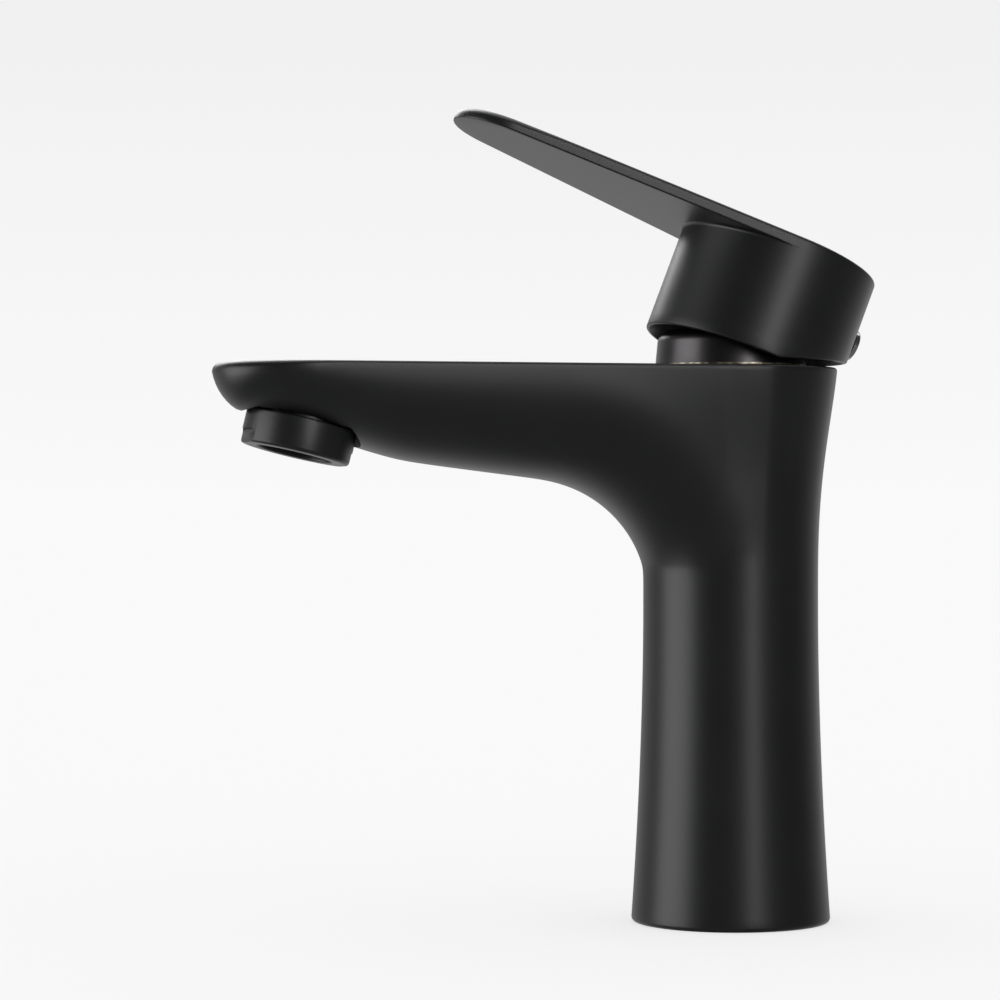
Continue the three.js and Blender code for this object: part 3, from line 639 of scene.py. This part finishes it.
# ------------------------------------------------------------------------------------------ aerator
@dataclass
class Aerator:
    """The screw-in aerator under the spout's tip: collar, flow straightener and the seat in the casting."""

    mouth: tuple[float, float] = (-113.1, 116.8)
    tilt: float = math.radians(13.6)
    radius: float = 13.6
    collar: float = 8.3
    seat_gap: float = 0.3
    seat_radius: float = 15.1
    thread: float = 11.7
    thread_length: float = 8.0
    bore: float = 10.0
    lip: float = 9.3
    flat_depth: float = 1.3
    flat_height: float = 3.4
    cell: float = 1.9
    cell_wall: float = 0.28
    cell_ends: tuple[float, float] = (3.2, 7.5)
    sheet_radius: float = 8.7
    rim_inner: float = 8.6
    rim_gap: float = 0.3
    rim_ends: tuple[float, float] = (2.5, 9.0)
    lip_height: float = 2.2
    around: int = 144

    def matrix(self) -> Matrix:
        """From the aerator's own frame, Z up its axis from the mouth's centre, to the CAD's frame."""
        shift = Matrix.Translation((self.mouth[0], 0.0, self.mouth[1]))
        return shift @ Matrix.Rotation(self.tilt, 4, "Y")

    def seat_cutter(self) -> bpy.types.Object:
        """The counterbore and threaded bore that the casting loses under the spout."""
        top = self.collar + self.seat_gap
        profile = [(0.5, -14.0), (self.seat_radius, -14.0), (self.seat_radius, top), (self.thread + 0.3, top),
                   (self.thread + 0.3, top + self.thread_length), (0.5, top + self.thread_length)]
        return grid_mesh("seat_cutter", placed(spin_rows(profile, self.around), self.matrix()))

    def wrench_cutter(self, side: float) -> bpy.types.Object:
        """A block with rounded upper corners that cuts one wrench flat.

        Args:
            side: 1 for the column side, -1 for the nose side.
        Returns:
            The cutter, a rounded outline in the (y, z) plane carried outwards along x.
        """
        half, corner = 5.9, 1.3
        outline = [(-half, -3.0), (half, -3.0)]
        outline += arc((half - corner, self.flat_height - corner), corner, 0.0, 90.0)
        outline += arc((corner - half, self.flat_height - corner), corner, 90.0, 180.0)
        face = np.asarray(outline)
        depths = np.array([self.radius - self.flat_depth, self.radius + 2.0])
        rows = np.stack([np.column_stack([np.full(len(face), side * d), face]) for d in depths])
        return grid_mesh("flat_cutter", placed(rows, self.matrix()))

    def housing(self) -> bpy.types.Object:
        """Turned collar with a rounded lip, a thread above it and two wrench flats."""
        r, top = self.radius, self.collar + self.seat_gap + self.thread_length - 1.6
        pitch, depth = 1.0, 0.45
        profile = [(self.bore, self.lip_height), (self.lip, self.lip_height), (self.lip, 0.7)]
        profile += arc((self.lip + 0.5, 0.5), 0.5, 180.0, 270.0, 4)
        profile += arc((r - 1.0, 1.0), 1.0, 270.0, 360.0, 6)
        profile += arc((r - 0.5, self.collar - 0.5), 0.5, 0.0, 90.0, 4)
        profile += [(self.thread - depth, self.collar)]
        turns = int((top - self.collar - 0.8) / pitch)
        for i in range(turns):
            low = self.collar + 0.8 + i * pitch
            profile += [(self.thread - depth, low), (self.thread, low + pitch / 2.0)]
        profile += [(self.thread - depth, top), (self.bore, top)]
        piece = ring_mesh("aerator_collar", placed(spin_rows(profile, self.around), self.matrix()), 40.0)
        for side in (-1.0, 1.0):
            carve(piece, self.wrench_cutter(side), 30.0)
        return piece

    def straightener(self) -> bpy.types.Object:
        """A rim and a sheet of hexagonal cells that the water leaves through.

        Cells sit at a*(i + j/2), a*j*sqrt(3)/2 for whole i and j. Each is a hexagonal tube whose wall runs
        from an outer to an inner hexagon.
        """
        inside, outside = self.rim_inner, self.bore - self.rim_gap
        low, high = self.rim_ends
        rim = spin_rows([(outside, low), (outside, high), (inside, high), (inside, low)], self.around)
        steps = np.arange(-6, 7)
        i, j = np.meshgrid(steps, steps)
        lattice = [self.cell * (i + j / 2.0), self.cell * j * math.sqrt(3.0) / 2.0]
        centres = np.stack(lattice, axis=-1).reshape(-1, 2)
        centres = centres[np.hypot(centres[:, 0], centres[:, 1]) < self.sheet_radius - self.cell / 2.0]
        corner = turn_angles(6) + math.pi / 6.0
        hexagon = np.stack([np.cos(corner), np.sin(corner)], axis=-1)
        reach = self.cell / math.sqrt(3.0)
        outer, inner = reach * 1.01, reach - self.cell_wall
        bottom, top = self.cell_ends
        loop = [(outer, bottom), (outer, top), (inner, top), (inner, bottom)]
        shape = np.stack([np.column_stack([hexagon * r, np.full(6, h)]) for r, h in loop])
        cells = shape[None] + np.concatenate([centres, np.zeros((len(centres), 1))], axis=1)[:, None, None, :]
        rim_points = rim.reshape(-1, 3)
        starts = len(rim_points) + len(loop) * len(corner) * np.arange(len(centres))
        cell_quads = (ring_quads(len(loop), len(corner))[None] + starts[:, None, None]).reshape(-1, 4)
        points = placed(np.vstack([rim_points, cells.reshape(-1, 3)]), self.matrix())
        return loose_mesh("flow_straightener", points, [ring_quads(*rim.shape[:2]), cell_quads], 30.0)

    def build(self, wardrobe: Wardrobe, casting: bpy.types.Object) -> None:
        """Cuts the seat into the casting, then makes and dresses the collar and the straightener."""
        carve(casting, self.seat_cutter(), 50.0)
        wardrobe.fit(self.housing(), SATIN_BLACK, Body.FIXED, "satin_black", "aerator_housing")
        wardrobe.fit(self.straightener(), DARK_PLASTIC, Body.FIXED, "grey_plastic", "aerator_insert")


# ------------------------------------------------------------------------------------------ dome
@dataclass
class Dome:
    """The dark polished cover between the body's flat top and the lever's cap."""

    radius: float = 18.9
    top_radius: float = 18.4
    low: float = 139.2
    high: float = 148.4
    shoulder: float = 3.5
    wall: float = 1.1
    mouth: float = 13.8
    edge: float = 0.3

    def shell(self) -> bpy.types.Object:
        """A turned shell: near-upright skirt, round shoulder, flat top with a wide mouth."""
        centre = (self.top_radius - self.shoulder, self.high - self.shoulder)
        profile = [(self.radius - self.wall, self.low), (self.radius - self.edge, self.low)]
        profile += [(self.radius, self.low + self.edge)]
        profile += arc(centre, self.shoulder, 0.0, 90.0, 12)
        profile += arc((self.mouth + self.edge, self.high - self.edge), self.edge, 90.0, 180.0, 3)
        profile += [(self.mouth, self.high - self.wall)]
        profile += arc(centre, self.shoulder - self.wall, 90.0, 0.0, 8)
        return ring_mesh("dome_cover", spin_rows(profile, 160), 40.0)

    def seat_ring(self) -> bpy.types.Object:
        """The thin bare metal lip that shows under the dome where it meets the body's flat top."""
        low, high, out = self.low - 0.02, self.low + 0.55, self.radius + 0.12
        profile = [(self.radius - self.wall, low), (out - 0.05, low), (out, low + 0.1), (out - 0.08, high)]
        return ring_mesh("dome_seat_ring", spin_rows(profile + [(self.radius - self.wall, high)], 160), 40.0)

    def build(self, wardrobe: Wardrobe) -> None:
        """Makes and dresses the dome and the lip under it."""
        wardrobe.fit(self.shell(), BLACK_NICKEL, Body.FIXED, "black_nickel", "cover_dome")
        wardrobe.fit(self.seat_ring(), WORN_BRASS, Body.FIXED, "brass", "cover_dome")


# ------------------------------------------------------------------------------------------ lever
@dataclass
class Lever:
    """The round cap with its flat blade, in its own frame: h up the cap's axis, u towards the blade's tip."""

    pivot: float = 134.0
    tilt: float = math.radians(21.5)
    radius: float = 25.24
    wall: float = 3.0
    lip: float = 0.8
    lip_bevel: float = 4.0
    top: float = 37.3
    rim: float = 7.2
    rim_soft: float = 0.45
    rear_rise: float = math.radians(19.8)
    thickness: float = 3.0
    length: float = 91.3
    end_radius: float = 13.5
    fillet: float = 0.8
    top_edge: float = 0.9
    tip_edge: float = 2.1
    under_edge: float = 0.35
    guard: float = 0.12
    boss: float = 6.5
    boss_low: float = 17.6
    socket: float = 3.3
    socket_top: float = 31.3
    screw_height: float = 22.4
    screw_hole: float = 2.5
    plug: float = 4.1
    plug_proud: float = 1.9
    half_columns: int = 170

    def matrix(self) -> Matrix:
        """From the lever's frame (u, y, h) at rest to the CAD's frame."""
        turn = Matrix.Rotation(self.tilt, 4, "Y")
        flip = Matrix.Diagonal((-1.0, 1.0, 1.0, 1.0))
        return Matrix.Translation((0.0, 0.0, self.pivot)) @ turn @ flip

    def outline_radius(self, angle: Array) -> Array:
        """Distance from the cap's axis to the plan outline: cap circle, tangent side, round tip.

        Args:
            angle: Directions from the blade's centre line.
        Returns:
            The distance in each direction.
        """
        a = np.abs((angle + math.pi) % CIRCLE - math.pi)
        span = self.length - self.end_radius
        lean = math.asin((self.radius - self.end_radius) / span)
        tip = math.atan2(self.end_radius * math.cos(lean), span + self.end_radius * math.sin(lean))
        normal = math.pi / 2.0 - lean
        side = self.radius / np.cos(np.clip(a - normal, -1.5, 0.0))
        chord = np.sqrt(np.clip(self.end_radius ** 2 - (span * np.sin(a)) ** 2, 0.0, None))
        rounded = span * np.cos(a) + chord
        return np.where(a < tip, rounded, np.where(a < normal, side, self.radius))

    def directions(self) -> Array:
        """Directions round the cap's axis, spaced by the outline's length and by angle together."""
        angle = np.linspace(0.0, math.pi, 4000)
        radius = self.outline_radius(angle)
        x, y = radius * np.cos(angle), radius * np.sin(angle)
        length = np.concatenate([[0.0], np.cumsum(np.hypot(np.diff(x), np.diff(y)))])
        measure = 0.7 * length / length[-1] + 0.3 * angle / math.pi
        half = np.interp(np.linspace(0.0, 1.0, self.half_columns + 1), measure, angle)
        tangent = math.pi / 2.0 - math.asin((self.radius - self.end_radius) / (self.length - self.end_radius))
        half = np.sort(np.concatenate([half, np.linspace(tangent - 0.3, tangent, 16)]))
        half = half[np.concatenate([[True], np.diff(half) > 1e-4])]
        return np.concatenate([half, -half[1:-1][::-1]])

    def rim_height(self, angle: Array, radius: float) -> Array:
        """Height of the rim: level over the front half, rising towards the rear from the cap's middle."""
        rear = np.maximum(-radius * np.cos(angle), 0.0)
        return self.rim + rear * math.tan(self.rear_rise)

    def rows(self, angle: Array) -> Array:
        """Rings of the whole lever, from the stem socket out over rim, wall, blade and top."""
        plan = np.stack([np.cos(angle), np.sin(angle)], axis=-1)
        reach = self.outline_radius(angle)
        outline = plan * reach[:, None]
        inward = outline_normals(outline)
        ledge = reach - self.radius
        under = self.top - self.thickness
        square = self.socket / np.maximum(np.abs(np.cos(angle)), np.abs(np.sin(angle)))
        rings: list[Array] = []

        def ring(radius: Array | float, height: Array | float) -> None:
            """Adds a ring by radius and height in each direction."""
            r = np.broadcast_to(radius, angle.shape)[:, None]
            h = np.broadcast_to(height, angle.shape)
            rings.append(np.column_stack([plan * r, h]))

        def inset(depth: Array | float, height: Array | float) -> None:
            """Adds a ring at a depth inside the outline, square to it."""
            d = np.broadcast_to(depth, angle.shape)[:, None]
            h = np.broadcast_to(height, angle.shape)
            rings.append(np.column_stack([outline + inward * d, h]))

        ring(0.2, self.socket_top)
        bevel, boss, foot = 0.4, self.boss, self.boss_low
        for r, h in ((square, self.socket_top), (square, foot + bevel), (square + bevel, foot)):
            ring(r, h)
        for r, h in ((boss - bevel, foot), (boss, foot + bevel), (boss, under - 1.0),
                     (boss + 0.3, under - 0.3), (boss + 1.0, under), (14.0, under)):
            ring(r, h)
        hollow, corner = self.radius - self.wall, 1.5
        for t in np.linspace(0.0, math.pi / 2.0, 5):
            ring(hollow - corner + corner * math.sin(t), under - corner + corner * math.cos(t))
        start = under - corner
        for share in np.linspace(0.0, 1.0, 7)[1:]:
            ring(hollow, mix(start, self.rim_height(angle, hollow) + self.lip_bevel, share))
        ring(self.radius - self.lip, self.rim_height(angle, self.radius - self.lip))
        soft = self.rim_soft
        for t in np.linspace(0.0, math.pi / 2.0, 5):
            ring(self.radius - soft + soft * math.sin(t),
                 self.rim_height(angle, self.radius) + soft * (1.0 - math.cos(t)))
        hollow_radius = np.minimum(self.fillet, 0.5 * ledge)
        wall_foot = self.rim_height(angle, self.radius) + soft
        for share in np.linspace(0.0, 1.0, 13)[1:]:
            ring(self.radius, mix(wall_foot, under - hollow_radius - self.guard, share))
        for t in np.linspace(0.0, math.pi / 2.0, 9):
            ring(self.radius + hollow_radius * (1.0 - math.cos(t)),
                 under - hollow_radius * (1.0 - math.sin(t)))
        low_edge = np.minimum(self.under_edge, 0.4 * ledge)
        shelf = rings[-1]
        brink = np.column_stack([outline + inward * low_edge[:, None], np.full(len(angle), under)])
        for share in np.linspace(0.0, 1.0, 14)[1:]:
            rings.append(mix(shelf, brink, share))
        for t in np.linspace(0.0, math.pi / 2.0, 5)[1:]:
            inset(low_edge * (1.0 - math.sin(t)), under + low_edge * (1.0 - math.cos(t)))
        inset(0.0, under + low_edge + self.guard)
        soft_top = mix(self.top_edge, self.tip_edge, smooth((outline[:, 0] - 62.0) / 28.0))
        inset(0.0, mix(under + low_edge, self.top - soft_top, 0.5))
        for t in np.linspace(0.0, math.pi / 2.0, 8):
            inset(soft_top * (1.0 - math.cos(t)), self.top - soft_top * (1.0 - math.sin(t)))
        brim = rings[-1]
        middle = np.column_stack([plan * 0.5, np.full(len(angle), self.top)])
        for share in np.linspace(0.0, 1.0, 12)[1:]:
            rings.append(mix(brim, middle, share))
        return np.stack(rings)

    def radial_cutter(self, radius: float, start: float, stop: float) -> bpy.types.Object:
        """A round bar that runs out of the cap's rear at the screw's height."""
        bar = spin_rows([(0.2, start), (radius, start), (radius, stop), (0.2, stop)], 48)
        lay = Matrix.Translation((0.0, 0.0, self.screw_height)) @ Matrix.Rotation(-math.pi / 2.0, 4, "Y")
        return grid_mesh("hole_cutter", placed(placed(bar, lay), self.matrix()))

    def handle(self) -> bpy.types.Object:
        """The cap and blade in one skin, with the screw's hole through boss and wall."""
        piece = grid_mesh("lever_cap_and_blade", placed(self.rows(self.directions()), self.matrix()), 35.0)
        carve(piece, self.radial_cutter(self.screw_hole, 2.0, self.boss + 2.0))
        through_wall = (self.radius - self.wall - 2.0, self.radius + 3.0)
        carve(piece, self.radial_cutter(self.plug - 0.6, *through_wall))
        return piece

    def plug_rows(self, profile: Sequence[tuple[float, float]]) -> Array:
        """A turned profile laid along the screw's axis, heights counted from the cap's axis to the rear."""
        lay = Matrix.Translation((0.0, 0.0, self.screw_height)) @ Matrix.Rotation(-math.pi / 2.0, 4, "Y")
        return placed(placed(spin_rows(profile, 72), lay), self.matrix())

    def plug_ring(self) -> bpy.types.Object:
        """The bright trim ring of the screw cover: a rounded band with a sleeve into the hole."""
        out = self.radius + self.plug_proud
        seat = self.radius + 0.35
        profile = [(self.plug - 1.4, seat - 3.2), (self.plug - 0.9, seat - 3.2), (self.plug - 0.9, seat),
                   (self.plug - 0.25, seat), (self.plug, seat + 0.25)]
        profile += arc((self.plug - 0.45, out - 0.45), 0.45, 0.0, 90.0, 5)
        profile += arc((self.plug - 0.95, out - 0.45), 0.45, 90.0, 180.0, 5)
        return ring_mesh("screw_cover_ring", self.plug_rows(profile), 40.0)

    def plug_core(self) -> bpy.types.Object:
        """The dark push-in plug inside the ring, slightly domed and set back."""
        face = self.radius + self.plug_proud - 0.75
        r = self.plug - 1.55
        profile = [(0.2, self.radius - 3.0), (r, self.radius - 3.0), (r, face - 0.3), (r - 0.3, face)]
        profile += [(r * 0.6, face + 0.18), (r * 0.3, face + 0.25), (0.2, face + 0.27)]
        return grid_mesh("screw_cover_plug", self.plug_rows(profile), 40.0)

    def build(self, wardrobe: Wardrobe) -> None:
        """Makes and dresses the lever's own pieces."""
        wardrobe.fit(self.handle(), SATIN_BLACK, Body.LEVER, "satin_black", "lever_handle")
        wardrobe.fit(self.plug_ring(), BRIGHT_NICKEL, Body.LEVER, "bright_nickel", "screw_cover")
        wardrobe.fit(self.plug_core(), DARK_PLASTIC, Body.LEVER, "grey_plastic", "screw_cover")


# ------------------------------------------------------------------------------------------ fixing kit
@dataclass
class FixingKit:
    """What clamps the faucet from below: threaded stud and chamfered nut, under the deck."""

    stud_x: float = -8.5
    stud_radius: float = 3.7
    stud_low: float = -61.0
    stud_high: float = 9.0
    pitch: float = 1.25
    nut_flats: float = 13.0
    nut_low: float = -35.6
    nut_high: float = -23.6

    def stud(self) -> bpy.types.Object:
        """A helical thread: the radius rides a triangle wave of z / pitch minus the turn's share."""
        around = 48
        angle = turn_angles(around)
        length = self.stud_high - self.stud_low
        z = np.linspace(0.0, length, int(length / self.pitch * 8) + 1)[:, None]
        wave = np.abs(((z / self.pitch - angle / CIRCLE) % 1.0) - 0.5) * 2.0
        ends = np.minimum(smooth(z / 1.2), smooth((length - z) / 1.2))
        radius = self.stud_radius - 0.62 * (1.0 - wave * ends)
        height = np.broadcast_to(z + self.stud_low, radius.shape)
        rows = np.stack([radius * np.cos(angle) + self.stud_x, radius * np.sin(angle), height], axis=-1)
        return grid_mesh("threaded_stud", rows, 60.0)

    def nut(self) -> bpy.types.Object:
        """A hexagon whose corners are turned off: the radius is the lesser of hexagon and chamfer cone."""
        angle = turn_angles(144)
        to_flat = (angle + math.pi / 6.0) % (math.pi / 3.0) - math.pi / 6.0
        hexagon = self.nut_flats / 2.0 / np.cos(to_flat)
        corner = self.nut_flats / 2.0 / math.cos(math.pi / 6.0)
        bore = self.stud_radius + 0.3
        heights = [0.0, 0.3, 0.6, 0.9, 1.2, 6.0]
        heights += [self.nut_high - self.nut_low - h for h in (1.2, 0.9, 0.6, 0.3, 0.0)]
        rings = [(np.full_like(angle, bore), 0.5), (np.full_like(angle, bore + 0.5), 0.0)]
        for h in heights:
            edge = min(h, self.nut_high - self.nut_low - h)
            rings.append((np.minimum(hexagon, corner - 1.1 + 1.7 * edge), h))
        full = self.nut_high - self.nut_low
        rings += [(np.full_like(angle, bore + 0.5), full), (np.full_like(angle, bore), full - 0.5)]
        rows = np.stack([np.stack([r * np.cos(angle) + self.stud_x, r * np.sin(angle),
                                   np.full_like(angle, self.nut_low + h)], axis=-1) for r, h in rings])
        return ring_mesh("stud_hex_nut", rows, 25.0)

    def build(self, wardrobe: Wardrobe) -> None:
        """Makes and dresses the stud and the nut."""
        wardrobe.fit(self.stud(), STEEL, Body.FIXED, "steel", "mounting_stud")
        wardrobe.fit(self.nut(), BRASS, Body.FIXED, "brass", "stud_nut")


# CAD nodes whose own shape is shown, and their finishes.
KEPT_NODES: dict[str, Finish] = {
    "mounting_insert": BRASS,
    "hot_inlet_tube": COPPER,
    "cold_inlet_tube": COPPER,
    "base_seal": RUBBER,
    "deck_gasket": RUBBER,
    "deck_washer": STEEL,
    "aerator_gasket": RUBBER,
    "cartridge_base": ACETAL,
    "hot_port_seal": RUBBER,
    "cold_port_seal": RUBBER,
    "outlet_port_seal": RUBBER,
    "fixed_ceramic_disc": ALUMINA,
    "moving_ceramic_disc": ALUMINA,
    "disc_carrier": GREY_NYLON,
    "cartridge_housing": ACETAL,
    "cartridge_rotor": GREY_NYLON,
    "pivot_pin": STEEL,
    "cartridge_nut": BRASS,
    "dome_seal": RUBBER,
    "lever_stem": STEEL,
    "grub_screw": STEEL,
}


# ------------------------------------------------------------------------------------------ studio
@dataclass(frozen=True)
class SoftBox:
    """A rectangular soft light aimed at the faucet.

    Attributes:
        name: The light's name.
        bearing: Degrees round the faucet from the camera's side, positive to the camera's right.
        height: Height of its centre in metres.
        distance: Level distance from the faucet in metres.
        size: Width and height in metres.
        power: Watts.
    """

    name: str
    bearing: float
    height: float
    distance: float
    size: tuple[float, float]
    power: float


@dataclass
class Studio:
    """Pale floor, soft lights, an even surround and the camera."""

    azimuth: float = math.radians(18.0)
    eye: tuple[float, float, float] = (-0.3155, -0.7834, 0.1058)
    lens: float = 120.6
    aim: tuple[float, float, float] = (-0.03, 0.0, 0.11)
    boxes: tuple[SoftBox, ...] = field(default_factory=lambda: (
        SoftBox("left_softbox", -77.0, 0.15, 0.9, (0.75, 0.8), 5.7),
        SoftBox("camera_strip", 26.0, 0.60, 1.6, (0.26, 1.3), 8.6),
        SoftBox("top_softbox", 150.0, 1.5, 0.5, (1.6, 1.6), 12.0),
        SoftBox("rear_left_softbox", -158.0, 0.80, 0.9, (0.6, 0.8), 7.0),
        SoftBox("rear_right_softbox", 150.0, 0.35, 1.2, (0.35, 0.9), 0.35),
    ))
    room_level: float = 0.05
    rear_level: float = 0.50
    ground_level: float = 0.12
    ground_rear_level: float = 0.30
    diffuse_level: float = 0.50
    horizon_level: float = 0.95
    sky_level: float = 0.82
    floor_albedo: float = 0.60

    def facing(self) -> tuple[float, float, float]:
        """Level unit vector from the camera towards the faucet."""
        return (math.sin(self.azimuth), math.cos(self.azimuth), 0.0)

    def camera(self) -> None:
        """A level long-lens camera, turned towards the spout's side."""
        data = bpy.data.cameras.new("camera")
        data.lens = self.lens
        data.sensor_width = 36.0
        data.clip_start = 0.01
        camera = bpy.data.objects.new("camera", data)
        bpy.context.scene.collection.objects.link(camera)
        camera.location = self.eye
        camera.rotation_euler = (math.pi / 2.0, 0.0, -self.azimuth)
        bpy.context.scene.camera = camera

    def light(self, box: SoftBox) -> None:
        """Adds one soft box, turned to face the faucet."""
        data = bpy.data.lights.new(box.name, "AREA")
        data.shape = "RECTANGLE"
        data.size, data.size_y = box.size
        data.energy = box.power
        lamp = bpy.data.objects.new(box.name, data)
        bpy.context.scene.collection.objects.link(lamp)
        lamp.visible_camera = False
        lamp.visible_diffuse = False
        turn = math.radians(box.bearing)
        to_eye = -Vector(self.facing())
        right = Vector((math.cos(self.azimuth), -math.sin(self.azimuth), 0.0))
        centre = Vector(self.aim)
        place = centre + (to_eye * math.cos(turn) + right * math.sin(turn)) * box.distance
        place.z = box.height
        lamp.location = place
        lamp.rotation_euler = (centre - place).to_track_quat("-Z", "Y").to_euler()

    def surround(self) -> None:
        """A pale backdrop, darker upwards, with an even fill for matt surfaces and a dim one for gloss."""
        world = bpy.data.worlds.new("surround")
        bpy.context.scene.world = world
        world.use_nodes = True
        tree = world.node_tree
        tree.nodes.clear()
        path = add_node(tree, "ShaderNodeLightPath").outputs
        aim = add_node(tree, "ShaderNodeTexCoord").outputs["Generated"]
        rise = add_node(tree, "ShaderNodeSeparateXYZ", {"Vector": aim}).outputs["Z"]
        backdrop = add_node(tree, "ShaderNodeMapRange",
                            {"Value": rise, "From Max": 0.25, "To Min": self.horizon_level,
                             "To Max": self.sky_level}).outputs["Result"]
        seen = add_node(tree, "ShaderNodeBackground", {"Strength": backdrop})
        fill = add_node(tree, "ShaderNodeBackground", {"Strength": self.diffuse_level})
        for shade in (seen, fill):
            shade.inputs["Color"].default_value = WHITE
        behind = add_node(tree, "ShaderNodeVectorMath", {0: aim, 1: self.facing()}, operation="DOT_PRODUCT")
        level = add_node(tree, "ShaderNodeMapRange",
                         {"Value": behind.outputs["Value"], "From Min": 0.1, "From Max": 0.9,
                          "To Min": self.room_level, "To Max": self.rear_level},
                         interpolation_type="SMOOTHSTEP")
        below = add_node(tree, "ShaderNodeMapRange",
                         {"Value": rise, "From Min": 0.05, "From Max": -0.3, "To Min": 0.0, "To Max": 1.0},
                         interpolation_type="SMOOTHSTEP").outputs["Result"]
        ground = add_node(tree, "ShaderNodeMapRange",
                          {"Value": behind.outputs["Value"], "From Min": -0.2, "From Max": 0.9,
                           "To Min": self.ground_level, "To Max": self.ground_rear_level}).outputs["Result"]
        added = add_node(tree, "ShaderNodeMath", {0: below, 1: ground, 2: level.outputs["Result"]},
                         operation="MULTIPLY_ADD").outputs[0]
        dim = add_node(tree, "ShaderNodeBackground", {"Strength": added, "Color": WHITE})
        matt = add_node(tree, "ShaderNodeMixShader",
                        {0: path["Is Diffuse Ray"], 1: dim.outputs[0], 2: fill.outputs[0]})
        both = add_node(tree, "ShaderNodeMixShader",
                        {0: path["Is Camera Ray"], 1: matt.outputs[0], 2: seen.outputs[0]})
        add_node(tree, "ShaderNodeOutputWorld", {"Surface": both.outputs[0]})

    def floor(self) -> None:
        """A pale deck with the 35 mm tap hole that the base hides: rings from the hole's rim outwards."""
        hole, top, under, edge = 17.5, -0.05, -18.0, 60000.0
        profile = [(hole, top), (60.0, top), (400.0, top), (edge, top), (edge, under), (hole, under)]
        floor = ring_mesh("deck_floor", spin_rows(profile, 96), 30.0)
        material = bpy.data.materials.new("lit_pale_floor")
        material.use_nodes = True
        shader = material.node_tree.nodes["Principled BSDF"]
        shader.inputs["Base Color"].default_value = (self.floor_albedo,) * 3 + (1.0,)
        shader.inputs["Roughness"].default_value = 1.0
        shader.inputs["Specular IOR Level"].default_value = 0.0
        shader.inputs["Emission Color"].default_value = WHITE
        shader.inputs["Emission Strength"].default_value = (
            self.horizon_level - self.floor_albedo * self.diffuse_level)
        floor.data.materials.append(material)
        floor.visible_glossy = False

    def build(self) -> None:
        """Sets up camera, lights, surround and floor, and the view transform."""
        self.camera()
        for box in self.boxes:
            self.light(box)
        self.surround()
        self.floor()
        scene = bpy.context.scene
        scene.view_settings.view_transform = "Standard"
        scene.view_settings.look = "None"


def main() -> None:
    """Builds the studio and each sub-assembly in order."""
    logging.basicConfig(level=logging.INFO, format="%(name)s: %(message)s")
    Studio().build()
    wardrobe = Wardrobe()
    shell = Casting().build()
    Aerator().build(wardrobe, shell)
    wardrobe.fit(shell, SATIN_BLACK, Body.FIXED, "satin_black", "faucet_body")
    Dome().build(wardrobe)
    Lever().build(wardrobe)
    FixingKit().build(wardrobe)
    for node, finish in KEPT_NODES.items():
        wardrobe.dress(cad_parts[node], finish)
        log.info("%s: %s", node, finish.name)


if __name__ == "__main__":
    main()
